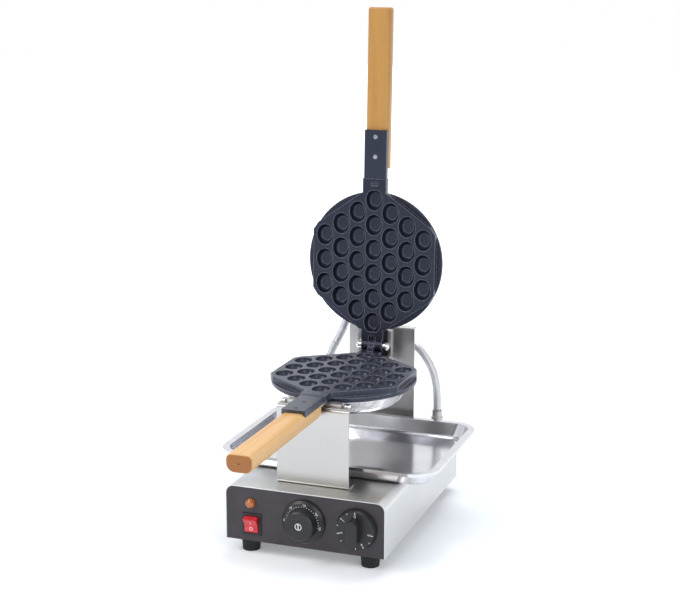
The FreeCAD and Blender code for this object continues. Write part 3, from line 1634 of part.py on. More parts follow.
def upper_pan(bowls):
    """Upper casting: two ears behind its face, with a slot between them for the lower pan's knuckle."""
    ears = []
    inner = S.knuckle_half + S.knuckle_gap
    for number, start in enumerate((-S.ear_half, inner)):
        wide = S.ear_half - inner
        ears.append(
            block(
                f"UpperEar{number}",
                (start, REAR_NECK_END - S.overrun, -S.plate_thick),
                (wide, HINGE_BACK - REAR_NECK_END + S.overrun, S.plate_thick),
            )
        )
        ears.append(
            rod(
                f"UpperKnuckle{number}",
                S.hinge_knuckle_radius,
                wide,
                (start, HINGE_BACK, -UPPER_HINGE_DROP),
                "X",
            )
        )
    solid = join("UpperPanSolid", *pan_body("Upper"), *ears)
    slot = middle_block(
        "UpperSlot",
        inner * 2,
        HINGE_SLOT_START,
        -PLATE_LOW,
        HINGE_BACK - HINGE_SLOT_START,
        PLATE_LOW + S.overrun,
    )
    pin = rod(
        "UpperPinHole",
        S.hinge_pin / 2 + S.fit_gap,
        S.ear_half * 2 + S.overrun * 2,
        (-S.ear_half - S.overrun, HINGE_BACK, -UPPER_HINGE_DROP),
        "X",
    )
    seat("upper", "pan", cut("UpperPan", solid, *pan_cuts("Upper", bowls), slot, pin))


def heater(side):
    """Ring heater, half sunk in the pan's back, with two terminal pins."""
    turn = doc.addObject("Part::Torus", f"{side}HeaterRing")
    bind(turn, "Radius1", HEATER_RING_RADIUS)
    bind(turn, "Radius2", S.heater_radius)
    bind(turn, "Angle3", S.heater_turn)
    half_gap = (FULL_TURN - S.heater_turn.value) / 2
    place(turn, (ZERO, ZERO, -PLATE_LOW), FreeCAD.Rotation(FreeCAD.Vector(0, 0, 1), FULL_TURN / 4 + half_gap))
    pins = []
    gap = (term(FULL_TURN) - S.heater_turn) / 2
    for number, sign in enumerate((-1, 1)):
        across = HEATER_RING_RADIUS * sine(gap) * sign
        along = HEATER_RING_RADIUS * cosine(gap)
        at = (across, along, -PLATE_LOW - S.heater_gap * 2)
        pins.append(rod(f"{side}HeaterPin{number}", S.heater_pin_radius, S.heater_pin, at, "-Z"))
    seat(side.lower(), "heater", join(f"{side}Heater", turn, *pins))


def cover(side):
    """Polished dish over the pan's back: a flange against the casting, a sloping wall and a flat bottom."""
    flange_low = -PLATE_LOW - S.cover_sheet
    low = -PLATE_LOW - S.cover_depth
    shell = turned(
        f"{side}CoverShell",
        [
            (COVER_FLANGE_RADIUS, -PLATE_LOW),
            (COVER_FLANGE_RADIUS, flange_low),
            (COVER_WALL_RADIUS, flange_low),
            (COVER_BOTTOM_RADIUS, low),
            (ZERO, low),
            (ZERO, low + S.cover_sheet),
            (COVER_BOTTOM_RADIUS - S.cover_sheet, low + S.cover_sheet),
            (COVER_WALL_RADIUS - S.cover_sheet, -PLATE_LOW),
        ],
    )
    bent = rounded(
        f"{side}CoverBend",
        shell,
        (lies("z", low), S.cover_bend),
        (lies("z", low + S.cover_sheet), S.cover_bend - S.cover_sheet),
    )
    holes = [
        rod(
            name,
            S.cover_screw / 2 + S.fit_gap,
            S.cover_sheet + S.overrun * 2,
            (across, along, low - S.overrun),
        )
        for name, across, along in post_places(f"{side}CoverHole")
    ]
    seat(side.lower(), "cover", cut(f"{side}Cover", bent, *holes))
    screws = [
        screw(
            name,
            S.cover_screw,
            S.cover_screw_length,
            S.cover_screw_head,
            S.cover_screw_head_height,
            (across, along, low),
            "Z",
        )
        for name, across, along in post_places(f"{side}CoverScrew")
    ]
    seat(side.lower(), "cover_screws", group(f"{side}CoverScrews", *screws))


def handle_arm(side):
    """Channel that carries the wooden handle: a thick top with two side flanges over it."""
    top = -S.arm_drop
    start = NECK_END + S.arm_gap
    outer = middle_block(
        f"{side}ArmOuter",
        S.arm_half * 2,
        -ARM_END,
        -S.arm_depth,
        ARM_END - start,
        S.arm_depth - S.arm_drop,
    )
    soft = rounded(
        f"{side}ArmRound",
        outer,
        (all_of(runs("y"), lies("z", top)), S.arm_edge),
        (all_of(runs("z"), lies("y", -ARM_END)), S.arm_edge),
    )
    inner = middle_block(
        f"{side}ArmInner",
        (S.arm_half - S.arm_flange) * 2,
        -ARM_END - S.overrun,
        -S.arm_depth - S.overrun,
        ARM_END - start + S.overrun * 2,
        S.arm_depth + S.overrun - S.arm_drop - S.arm_plate,
    )
    holes = []
    for number, along in enumerate((HANDLE_SCREW_NEAR, HANDLE_SCREW_FAR)):
        at = (ZERO, -along, top)
        shank = S.handle_screw / 2 + S.fit_gap
        head = S.handle_screw_head / 2 + S.fit_gap
        holes.append(rod(f"{side}ArmHole{number}", shank, S.arm_depth, at, "-Z"))
        holes.append(
            cone(f"{side}ArmSink{number}", head, shank, S.handle_screw_head_depth + S.fit_gap, at, "-Z")
        )
    thread_low = -S.arm_drop - S.arm_plate
    thread = rod(
        f"{side}ArmThread",
        S.tongue_screw / 2,
        S.arm_plate / 2,
        (ZERO, -TONGUE_SCREW_ALONG, thread_low),
    )
    seat(side.lower(), "handle_arm", cut(f"{side}Arm", soft, inner, thread, *holes))


def handle(side):
    """Wooden handle with rounded edges, rebated where the arm's flanges sit."""
    top = -S.arm_drop - S.arm_plate - S.fit_gap
    low = top - S.handle_thick
    bar = middle_block(
        f"{side}HandleBar",
        S.handle_half * 2,
        -HANDLE_END,
        low,
        S.handle_length,
        S.handle_thick,
    )
    long = rounded(
        f"{side}HandleLong",
        bar,
        (all_of(runs("y"), lies("z", top)), S.handle_top_round),
        (all_of(runs("y"), lies("z", low)), S.handle_low_round),
    )
    at_end = lies("y", -HANDLE_END)
    soft = rounded(f"{side}HandleSoft", long, (lambda edge: all_at(edge, at_end), S.handle_end_round))
    cuts = []
    rebate = S.arm_half - S.arm_flange - S.arm_gap
    for number, start in enumerate((-S.arm_half - S.overrun, rebate)):
        cuts.append(
            block(
                f"{side}Rebate{number}",
                (start, -ARM_END - S.arm_gap, -S.arm_depth - S.arm_gap),
                (
                    S.arm_half + S.overrun - rebate,
                    ARM_END + S.arm_gap - HANDLE_START + S.overrun,
                    S.arm_depth + S.arm_gap,
                ),
            )
        )
    for number, along in enumerate((HANDLE_SCREW_NEAR, HANDLE_SCREW_FAR)):
        at = (ZERO, -along, -S.arm_drop)
        cuts.append(rod(f"{side}HandleBore{number}", S.handle_screw / 2, S.handle_screw_length, at, "-Z"))
    middle = (top + low) / 2
    end_hole = (ZERO, -HANDLE_END - S.overrun, middle)
    cuts.append(
        rod(f"{side}HandleHole", S.handle_hole / 2, S.handle_hole_depth + S.overrun, end_hole, "Y")
    )
    seat(side.lower(), "handle", cut(f"{side}Handle", soft, *cuts))


def all_at(edge, test):
    """True where an edge and both its ends pass a test of place."""
    return test(edge) and all(close(vertex.Y, -HANDLE_END.value) for vertex in edge.Vertexes)


def handle_screws(side):
    """Two sunk screws through the arm into the wood, and one from below through the tongue."""
    top = -S.arm_drop
    screws = []
    shank = S.handle_screw / 2
    for number, along in enumerate((HANDLE_SCREW_NEAR, HANDLE_SCREW_FAR)):
        profile = [
            (ZERO, ZERO),
            (S.handle_screw_head / 2, ZERO),
            (shank, S.handle_screw_head_depth),
            (shank, S.handle_screw_length),
            (ZERO, S.handle_screw_length),
        ]
        screws.append(turned(f"{side}HandleScrew{number}", profile, (ZERO, -along, top), "-Z"))
    length = S.plate_thick - S.arm_drop - S.arm_plate / 2
    screws.append(
        screw(
            f"{side}TongueScrew",
            S.tongue_screw,
            length,
            S.tongue_screw_head,
            S.tongue_screw_head_height,
            (ZERO, -TONGUE_SCREW_ALONG, -S.plate_thick),
            "Z",
        )
    )
    seat(side.lower(), "handle_screws", group(f"{side}HandleScrews", *screws))


def terminal_box():
    """Small steel box on the upper cover's back, with the connector that the left conduit enters."""
    back = -PLATE_LOW - S.cover_depth
    box = block(
        "BoxShell",
        (-S.box_wide / 2, S.box_connector, -S.box_deep),
        (S.box_wide, S.box_long, S.box_deep),
    )
    soft = rounded("BoxRound", box, (runs("z"), S.box_connector / 4))
    connector = rod(
        "BoxConnector", S.box_connector_radius, S.box_connector * 2, (ZERO, ZERO, -S.box_deep / 2), "Y"
    )
    bore = rod(
        "BoxBore",
        S.conduit_diameter / 2 - S.cap_wall,
        S.box_connector,
        (ZERO, ZERO, -S.box_deep / 2),
        "Y",
    )
    solid = cut("BoxSolid", join("BoxJoined", soft, connector), bore)
    turn = FreeCAD.Rotation(FreeCAD.Vector(0, 0, 1), 180 - S.box_lean.value)
    place(solid, (BOX_ENTRY_ACROSS, BOX_ENTRY_ALONG, back), turn)
    seat("upper", "terminal_box", group("TerminalBox", solid))


# Conduits
def base_glands():
    """Two glands on the base's top that the conduits stand in."""
    profile = [
        (ZERO, -S.base_sheet - S.gland_stub),
        (S.gland_stub_radius, -S.base_sheet - S.gland_stub),
        (S.gland_stub_radius, ZERO),
        (S.gland_flange_radius, ZERO),
        (S.gland_flange_radius, S.gland_flange),
        (S.gland_body_radius, S.gland_flange),
        (S.gland_body_radius, S.gland_flange + S.gland_body),
        (S.gland_cap_radius, S.gland_flange + S.gland_body + S.gland_flange / 2),
        (S.gland_cap_radius, S.gland_height - S.gland_seat),
        (ZERO, S.gland_height - S.gland_seat),
    ]
    glands = [
        turned(f"Gland{number}", profile, (across, GLAND_Y, BASE_TOP))
        for number, across in enumerate((-GLAND_ACROSS, GLAND_ACROSS))
    ]
    keep("conduit_glands", group("Glands", *glands))


def tube_path(route, name):
    """Straight runs joined by arcs that touch them, each as large as its two runs allow."""
    spots = [FreeCAD.Vector(point) for point in route]
    edges = []
    start = spots[0]
    radii = []
    for before, here, after in zip(spots, spots[1:], spots[2:]):
        back = before - here
        ahead = after - here
        reach = 0.45 * min(back.Length, ahead.Length)
        half_turn = (math.pi - back.getAngle(ahead)) / 2
        radius = reach / math.tan(half_turn)
        entry = here + back.normalize() * reach
        leave = here + ahead.normalize() * reach
        centre_way = (back + ahead).normalize()
        centre = here + centre_way * (radius / math.cos(half_turn))
        middle = centre - centre_way * radius
        edges.append(Part.LineSegment(start, entry).toShape())
        edges.append(Part.Arc(entry, middle, leave).toShape())
        radii.append(round(radius, 1))
        start = leave
    edges.append(Part.LineSegment(start, spots[-1]).toShape())
    print(f"{name}: bend radii {radii} mm")
    return Part.Wire(edges)


def conduit(node, route):
    """A round tube along its route."""
    path = tube_path(route, node)
    radius = S.conduit_diameter.value / 2
    circle = Part.Wire([Part.makeCircle(radius, route[0], route[1] - route[0])])
    tube = path.makePipeShell([circle], True, False)
    section = math.pi * radius**2
    print(f"{node}: length {path.Length:.1f} mm, volume {tube.Volume / (section * path.Length):.4f} of it")
    obj = doc.addObject("Part::Feature", node + "Tube")
    obj.Shape = tube
    obj.Placement = FreeCAD.Placement()
    keep(node, obj)


def conduits():
    conduit("right_conduit", RIGHT_ROUTE)
    conduit("left_conduit_lower", LEFT_LOWER_ROUTE)
    conduit("left_conduit_upper", LEFT_UPPER_ROUTE)


def build():
    base_housing()
    base_bottom()
    front_panel()
    rear_panel()
    feet()
    indicator_lamp()
    rocker_switch()
    temperature_control()
    timer_control()
    terminal_block()
    drip_tray()
    front_bracket()
    rear_bracket()
    rotor_bearing()
    rotor_shaft()
    rotor_yoke()
    hinge()
    bowls = cavities()
    lower_pan(bowls)
    upper_pan(bowls)
    for side in ("Lower", "Upper"):
        heater(side)
        cover(side)
        handle_arm(side)
        handle(side)
        handle_screws(side)
    terminal_box()
    base_glands()
    conduits()
    doc.recompute()


def check():
    """Stop if any object failed, or if a part's shape is missing or not valid."""
    for obj in doc.Objects:
        if "Invalid" in obj.State or "Error" in obj.State:
            raise RuntimeError(f"{obj.Name} ({obj.Label}) failed: {obj.State}")
    for node, obj in parts.items():
        if obj.Shape.isNull() or not obj.Shape.isValid():
            raise RuntimeError(f"{node} has no valid shape")
        if not obj.Shape.Solids:
            raise RuntimeError(f"{node} holds no solid")


def write():
    os.makedirs("parts", exist_ok=True)
    for node, obj in parts.items():
        obj.Shape.exportStep(f"parts/{node}.step")
    print(f"{len(parts)} parts")


build()
check()
write()
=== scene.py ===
import math

import bmesh
import bpy
from mathutils import Matrix, Vector


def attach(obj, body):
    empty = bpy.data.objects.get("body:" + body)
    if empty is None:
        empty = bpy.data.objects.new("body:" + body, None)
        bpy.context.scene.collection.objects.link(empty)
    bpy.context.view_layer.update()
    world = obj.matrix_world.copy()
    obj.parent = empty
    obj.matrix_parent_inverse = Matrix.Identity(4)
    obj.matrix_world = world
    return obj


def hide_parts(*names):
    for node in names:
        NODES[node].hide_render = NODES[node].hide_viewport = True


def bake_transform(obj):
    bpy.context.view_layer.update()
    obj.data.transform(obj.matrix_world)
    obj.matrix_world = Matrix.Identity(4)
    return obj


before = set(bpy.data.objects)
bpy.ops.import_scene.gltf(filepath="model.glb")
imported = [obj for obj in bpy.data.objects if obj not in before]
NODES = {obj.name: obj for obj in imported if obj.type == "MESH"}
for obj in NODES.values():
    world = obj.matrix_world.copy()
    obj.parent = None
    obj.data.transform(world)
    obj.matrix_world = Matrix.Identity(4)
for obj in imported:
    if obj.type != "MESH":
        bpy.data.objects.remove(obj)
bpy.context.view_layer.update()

# The egg waffle pan's looks: procedural materials on the fixed solids, the printed marks,
# the conduits, a pale floor and soft studio light. Metres, in the frame of the solids.
MM = 0.001
# The open upper pan, turned from its shut place
UPPER_LEAN = math.radians(92.27)


def mm(*values):
    return Vector([v * MM for v in values])


def srgb(red, green, blue):
    """A screen colour of 0 to 255 as linear light."""
    out = []
    for value in (red, green, blue):
        share = value / 255
        out.append(share / 12.92 if share <= 0.04045 else ((share + 0.055) / 1.055) ** 2.4)
    return tuple(out)


def shaded(colour, share, lift=0.0):
    """A colour made darker or paler by a share of itself, and lifted evenly."""
    return tuple(v * share + lift for v in colour)


# Materials
class Look:
    """A material under construction: its node tree, and short ways to add to it."""

    def __init__(self, name, colour, roughness, metallic=0.0):
        self.material = bpy.data.materials.new(name)
        self.material.use_nodes = True
        self.tree = self.material.node_tree
        self.shader = self.tree.nodes["Principled BSDF"]
        self.shader.inputs["Base Color"].default_value = (*colour, 1)
        self.shader.inputs["Roughness"].default_value = roughness
        self.shader.inputs["Metallic"].default_value = metallic
        self.material.diffuse_color = (*colour, 1)
        self.normal = None

    def add(self, kind, **settings):
        node = self.tree.nodes.new(kind)
        for name, value in settings.items():
            setattr(node, name, value)
        return node

    def join(self, source, target):
        self.tree.links.new(source, target)

    def set(self, **values):
        for name, value in values.items():
            self.shader.inputs[name.replace("_", " ")].default_value = value

    def place(self, scale=(1, 1, 1), turn=(0, 0, 0), shift=(0, 0, 0), output="Object"):
        """Coordinates fixed to the object, stretched by scale after a turn."""
        coordinates = self.add("ShaderNodeTexCoord")
        rotate = self.add("ShaderNodeMapping", vector_type="POINT")
        rotate.inputs["Rotation"].default_value = turn
        rotate.inputs["Location"].default_value = shift
        stretch = self.add("ShaderNodeMapping", vector_type="POINT")
        stretch.inputs["Scale"].default_value = scale
        self.join(coordinates.outputs[output], rotate.inputs["Vector"])
        self.join(rotate.outputs["Vector"], stretch.inputs["Vector"])
        return stretch.outputs["Vector"]

    def noise(self, where, scale=1.0, detail=3.0, rough=0.55, warp=0.0):
        node = self.add("ShaderNodeTexNoise")
        node.inputs["Scale"].default_value = scale
        node.inputs["Detail"].default_value = detail
        node.inputs["Roughness"].default_value = rough
        node.inputs["Distortion"].default_value = warp
        self.join(where, node.inputs["Vector"])
        return node.outputs["Fac"]

    def wave(self, where, kind, axis, scale, distortion=0.0, detail=2.0):
        """Evenly spaced bands across an axis, or rings round it."""
        node = self.add("ShaderNodeTexWave", wave_type=kind)
        if kind == "BANDS":
            node.bands_direction = axis
        else:
            node.rings_direction = axis
        node.inputs["Scale"].default_value = scale
        node.inputs["Distortion"].default_value = distortion
        node.inputs["Detail"].default_value = detail
        node.inputs["Detail Scale"].default_value = 1.0
        self.join(where, node.inputs["Vector"])
        return node.outputs["Fac"]

    def ramp(self, fac, *stops):
        """Colours or greys along fac: each stop is a place and a colour, or one grey."""
        node = self.add("ShaderNodeValToRGB")
        band = node.color_ramp
        while len(band.elements) < len(stops):
            band.elements.new(0.5)
        for element, (place, colour) in zip(band.elements, stops):
            element.position = place
            element.color = (*colour, 1) if len(colour) == 3 else (colour[0],) * 3 + (1,)
        self.join(fac, node.inputs["Fac"])
        return node.outputs["Color"]

    def mix(self, fac, first, second, kind="MIX"):
        node = self.add("ShaderNodeMix", data_type="RGBA", blend_type=kind)
        for socket, value in (("Factor", fac), ("A", first), ("B", second)):
            found = [s for s in node.inputs if s.name == socket and s.enabled][0]
            if isinstance(value, (int, float)):
                found.default_value = value
            elif isinstance(value, tuple):
                found.default_value = (*value, 1)
            else:
                self.join(value, found)
        return [s for s in node.outputs if s.enabled][0]

    def fade(self, fac, low, high, first, second, most=1.0):
        """From the first colour towards the second, while fac goes from low to high."""
        return self.mix(self.ramp(fac, (low, (0.0,)), (high, (most,))), first, second)

    def math(self, operation, *values):
        node = self.add("ShaderNodeMath", operation=operation)
        for index, value in enumerate(values):
            if isinstance(value, (int, float)):
                node.inputs[index].default_value = value
            else:
                self.join(value, node.inputs[index])
        return node.outputs[0]

    def span(self, fac, low, high):
        """Fac of 0 to 1, laid out from low to high."""
        node = self.add("ShaderNodeMapRange")
        node.inputs["To Min"].default_value = low
        node.inputs["To Max"].default_value = high
        self.join(fac, node.inputs["Value"])
        return node.outputs["Result"]

    def colour(self, socket):
        self.join(socket, self.shader.inputs["Base Color"])

    def rough(self, fac, low, high):
        self.join(self.span(fac, low, high), self.shader.inputs["Roughness"])

    def soften(self, radius):
        """Rounds sharp edges in the shading by a small radius in metres."""
        node = self.add("ShaderNodeBevel", samples=4)
        node.inputs["Radius"].default_value = radius
        self.normal = node.outputs["Normal"]
        self.join(self.normal, self.shader.inputs["Normal"])

    def edges(self, radius, low=0.004, high=0.06):
        """A mask of 1 along sharp edges, where the rounded normal leaves the true one."""
        bevel = self.add("ShaderNodeBevel", samples=4)
        bevel.inputs["Radius"].default_value = radius
        true = self.add("ShaderNodeNewGeometry")
        product = self.add("ShaderNodeVectorMath", operation="DOT_PRODUCT")
        self.join(bevel.outputs["Normal"], product.inputs[0])
        self.join(true.outputs["Normal"], product.inputs[1])
        away = self.math("SUBTRACT", 1.0, product.outputs["Value"])
        reach = self.add("ShaderNodeMapRange")
        reach.inputs["From Min"].default_value = low
        reach.inputs["From Max"].default_value = high
        self.join(away, reach.inputs["Value"])
        return reach.outputs["Result"]

    def bump(self, height, depth, strength):
        """Relief of the given depth in metres."""
        node = self.add("ShaderNodeBump")
        node.inputs["Strength"].default_value = strength
        node.inputs["Distance"].default_value = depth
        self.join(height, node.inputs["Height"])
        if self.normal is not None:
            self.join(self.normal, node.inputs["Normal"])
        self.normal = node.outputs["Normal"]
        self.join(self.normal, self.shader.inputs["Normal"])


def brushed(name, tone, along, roughness=(0.26, 0.38)):
    """Brushed sheet: fine lines along one axis and faint cloudy patches."""
    look = Look(name, tone, roughness[0], 1.0)
    # Scales across the lines and along them
    fine = [14.0 if axis == along else 1400.0 for axis in "xyz"]
    wide = [6.0 if axis == along else 260.0 for axis in "xyz"]
    hair = look.noise(look.place(fine), 1.0, 4.0, 0.7)
    streak = look.noise(look.place(wide), 1.0, 3.0, 0.6)
    cloud = look.noise(look.place(), 9.0, 3.0, 0.5)
    pale = look.math("MULTIPLY_ADD", streak, 0.55, 0.2)
    body = look.mix(look.span(pale, 0.0, 1.0), shaded(tone, 0.90), tone)
    spots = look.ramp(cloud, (0.35, (0.95,)), (0.65, (1.0,)))
    look.colour(look.mix(1.0, body, spots, "MULTIPLY"))
    dull = look.math("ADD", look.math("MULTIPLY", streak, 0.6), look.math("MULTIPLY", cloud, 0.4))
    look.rough(dull, *roughness)
    look.soften(0.0005)
    look.bump(hair, 0.000012, 0.8)
    return look


def pressed_steel(name, tone, low, high, mirror=False):
    """Smooth pressed steel with slow ripples and wipe marks; a mirror has no fine grain."""
    look = Look(name, tone, low, 1.0)
    ripple = look.noise(look.place(), 16.0, 2.0, 0.4, 0.6)
    haze = look.noise(look.place((30, 90, 30), (0.2, 0.1, 0.7)), 1.0, 4.0, 0.6)
    look.colour(look.fade(haze, 0.35, 0.7, tone, shaded(tone, 0.92)))
    look.rough(haze, low, high)
    if not mirror:
        look.soften(0.0006)
        look.bump(look.noise(look.place(), 2600.0, 2.0, 0.6), 0.000004, 0.6)
    look.bump(ripple, 0.0006, 0.5)
    return look


def swirled_steel(name, tone):
    """Polished spun steel: slow dents that bend its reflections, and soft swirls."""
    look = Look(name, tone, 0.1, 1.0)
    dents = look.noise(look.place((7, 7, 7)), 1.0, 3.0, 0.55, 1.4)
    haze = look.noise(look.place(), 35.0, 4.0, 0.6, 1.0)
    look.colour(look.fade(haze, 0.3, 0.75, tone, shaded(tone, 0.86)))
    look.rough(haze, 0.09, 0.24)
    look.bump(dents, 0.0042, 0.5)
    return look


def coated_casting(name, base, worn, edge_highlight_tone):
    """Slate non-stick coat on a casting: fine orange peel, specks, and sharp edges painted paler
    as a painted highlight.
    """
    look = Look(name, base, 0.34)
    peel = look.noise(look.place(), 700.0, 3.0, 0.6)
    cast = look.noise(look.place(), 60.0, 4.0, 0.6)
    speck = look.noise(look.place(), 2400.0, 1.0, 0.5)
    tone = look.fade(cast, 0.3, 0.7, base, worn)
    tone = look.fade(speck, 0.66, 0.72, tone, srgb(74, 76, 92), 0.2)
    # Painted highlight: sharp edges take a paler tone where light catches the casting's rounded
    # edges
    painted_edge_highlight = look.math("MULTIPLY", look.edges(0.0022), look.span(cast, 0.5, 1.0))
    look.colour(look.mix(painted_edge_highlight, tone, edge_highlight_tone))
    look.rough(cast, 0.22, 0.34)
    look.set(Specular_IOR_Level=0.45, Specular_Tint=(0.7, 0.78, 1.0, 1))
    look.soften(0.0014)
    look.bump(cast, 0.00012, 0.5)
    look.bump(peel, 0.00004, 0.6)
    return look


def coated_sheet(name, base, pale, shine):
    """The same slate coat on the handles' folded channels, smoother."""
    look = Look(name, base, 0.42)
    peel = look.noise(look.place(), 900.0, 3.0, 0.6)
    cloud = look.noise(look.place(), 40.0, 3.0, 0.5)
    look.colour(look.fade(cloud, 0.3, 0.7, base, pale))
    look.rough(cloud, 0.26, 0.36)
    look.set(Specular_IOR_Level=shine, Specular_Tint=(0.8, 0.87, 1.0, 1))
    look.soften(0.0006)
    look.bump(peel, 0.00003, 0.6)
    return look


def wood(name, light, dark, end, turn):
    """Lacquered hardwood: fibres and slow figure along the handle, rings on the sawn ends."""
    look = Look(name, light, 0.38)
    fibre = look.noise(look.place((420, 9, 420), turn), 1.0, 5.0, 0.65)
    figure = look.noise(look.place((46, 2.2, 46), turn), 1.0, 4.0, 0.55, 0.6)
    pores = look.noise(look.place((900, 34, 900), turn), 1.0, 2.0, 0.5)
    body = look.mix(look.ramp(figure, (0.28, (0.0,)), (0.5, (0.35,)), (0.74, (1.0,))), light, dark)
    body = look.fade(fibre, 0.4, 0.72, body, shaded(dark, 0.8), 0.32)
    body = look.fade(pores, 0.62, 0.7, body, shaded(dark, 0.6), 0.22)
    # The rings' own middle lies beside the handle's
    around = look.place((1, 0.01, 1), turn, (0.004, 0, 0.012))
    rings = look.wave(around, "RINGS", "Y", 150.0, 3.0, 3.0)
    sawn = look.fade(rings, 0.2, 0.8, end, shaded(end, 0.72))
    sawn = look.fade(pores, 0.55, 0.7, sawn, shaded(end, 0.5), 0.5)
    facing = look.place(turn=turn, output="Normal")
    split = look.add("ShaderNodeSeparateXYZ")
    look.join(facing, split.inputs[0])
    at_end = look.math("ABSOLUTE", split.outputs["Y"])
    look.colour(look.fade(at_end, 0.55, 0.85, body, sawn))
    look.rough(fibre, 0.32, 0.5)
    look.set(Coat_Weight=0.25, Coat_Roughness=0.3)
    look.bump(fibre, 0.00005, 0.6)
    look.bump(pores, 0.00006, 0.5)
    return look


def moulded(name, colour, roughness, speck=0.00002):
    """Moulded plastic: a fine spark-eroded texture and slight shade changes."""
    look = Look(name, colour, roughness)
    fine = look.noise(look.place(), 1500.0, 3.0, 0.6)
    slow = look.noise(look.place(), 45.0, 2.0, 0.5)
    look.colour(look.fade(slow, 0.3, 0.7, colour, shaded(colour, 1.25, 0.002)))
    look.rough(fine, roughness - 0.05, roughness + 0.08)
    look.soften(0.0005)
    look.bump(fine, speck, 0.6)
    return look


def rubber(name):
    """Dull black rubber with a little dust."""
    look = Look(name, srgb(26, 26, 29), 0.7)
    fine = look.noise(look.place(), 1100.0, 4.0, 0.65)
    dust = look.noise(look.place(), 120.0, 4.0, 0.6)
    look.colour(look.fade(dust, 0.45, 0.8, srgb(24, 24, 27), srgb(44, 44, 47)))
    look.rough(dust, 0.6, 0.82)
    look.soften(0.0006)
    look.bump(fine, 0.00004, 0.7)
    return look


def red_plastic(name):
    """Glossy red plastic that lets a little light in."""
    look = Look(name, srgb(206, 30, 44), 0.24)
    slow = look.noise(look.place(), 110.0, 2.0, 0.5)
    look.colour(look.fade(slow, 0.3, 0.7, srgb(206, 26, 40), srgb(232, 50, 62)))
    look.rough(slow, 0.2, 0.32)
    look.set(Coat_Weight=0.4, Coat_Roughness=0.12)
    look.set(Subsurface_Weight=0.15, Subsurface_Scale=0.003)
    look.soften(0.0006)
    look.bump(look.noise(look.place(), 1300.0, 2.0, 0.5), 0.00001, 0.5)
    return look


def amber(name):
    """Amber lens: moulded facets inside, smooth outside."""
    look = Look(name, srgb(222, 118, 20), 0.16)
    cells = look.add("ShaderNodeTexVoronoi")
    cells.inputs["Scale"].default_value = 420.0
    look.join(look.place(), cells.inputs["Vector"])
    depth = cells.outputs["Distance"]
    tones = ((0.0, srgb(222, 136, 36)), (0.35, srgb(196, 106, 18)), (0.9, srgb(124, 58, 8)))
    look.colour(look.ramp(depth, *tones))
    look.set(Coat_Weight=1.0, Coat_Roughness=0.04)
    look.set(Subsurface_Weight=0.3, Subsurface_Scale=0.003)
    look.bump(depth, 0.0003, 0.1)
    return look


# The strands' slope against the tube, in radians
BRAID_SLOPE = 0.785


def sleeve(name):
    """Fine braided silver sleeve: two crossing sets of strands round the tube."""
    look = Look(name, srgb(206, 206, 210), 0.34, 0.85)
    along = look.add("ShaderNodeUVMap", uv_map="tube")
    strands = []
    for slope in (1.0, -1.0):
        turn = look.add("ShaderNodeMapping")
        turn.inputs["Rotation"].default_value = (0, 0, slope * BRAID_SLOPE)
        look.join(along.outputs["UV"], turn.inputs["Vector"])
        strands.append(look.wave(turn.outputs["Vector"], "BANDS", "X", 5.0))
    weave = look.math("MAXIMUM", *strands)
    slow = look.noise(look.place(), 60.0, 3.0, 0.5)
    shade = look.fade(weave, 0.25, 0.85, srgb(150, 150, 156), srgb(214, 214, 218))
    look.colour(look.fade(slow, 0.3, 0.7, shade, srgb(232, 232, 234), 0.25))
    look.rough(weave, 0.44, 0.3)
    look.bump(weave, 0.00008, 0.5)
    return look


def print_ink(name, colour):
    """Flat printing ink, a little uneven."""
    look = Look(name, colour, 0.5)
    uneven = look.noise(look.place(), 900.0, 3.0, 0.6)
    look.colour(look.fade(uneven, 0.3, 0.7, colour, shaded(colour, 0.86)))
    look.rough(uneven, 0.42, 0.6)
    return look


def dress(look, *names):
    """Gives the named solids one material in place of their own."""
    for name in names:
        materials = NODES[name].data.materials
        materials.clear()
        materials.append(look.material)


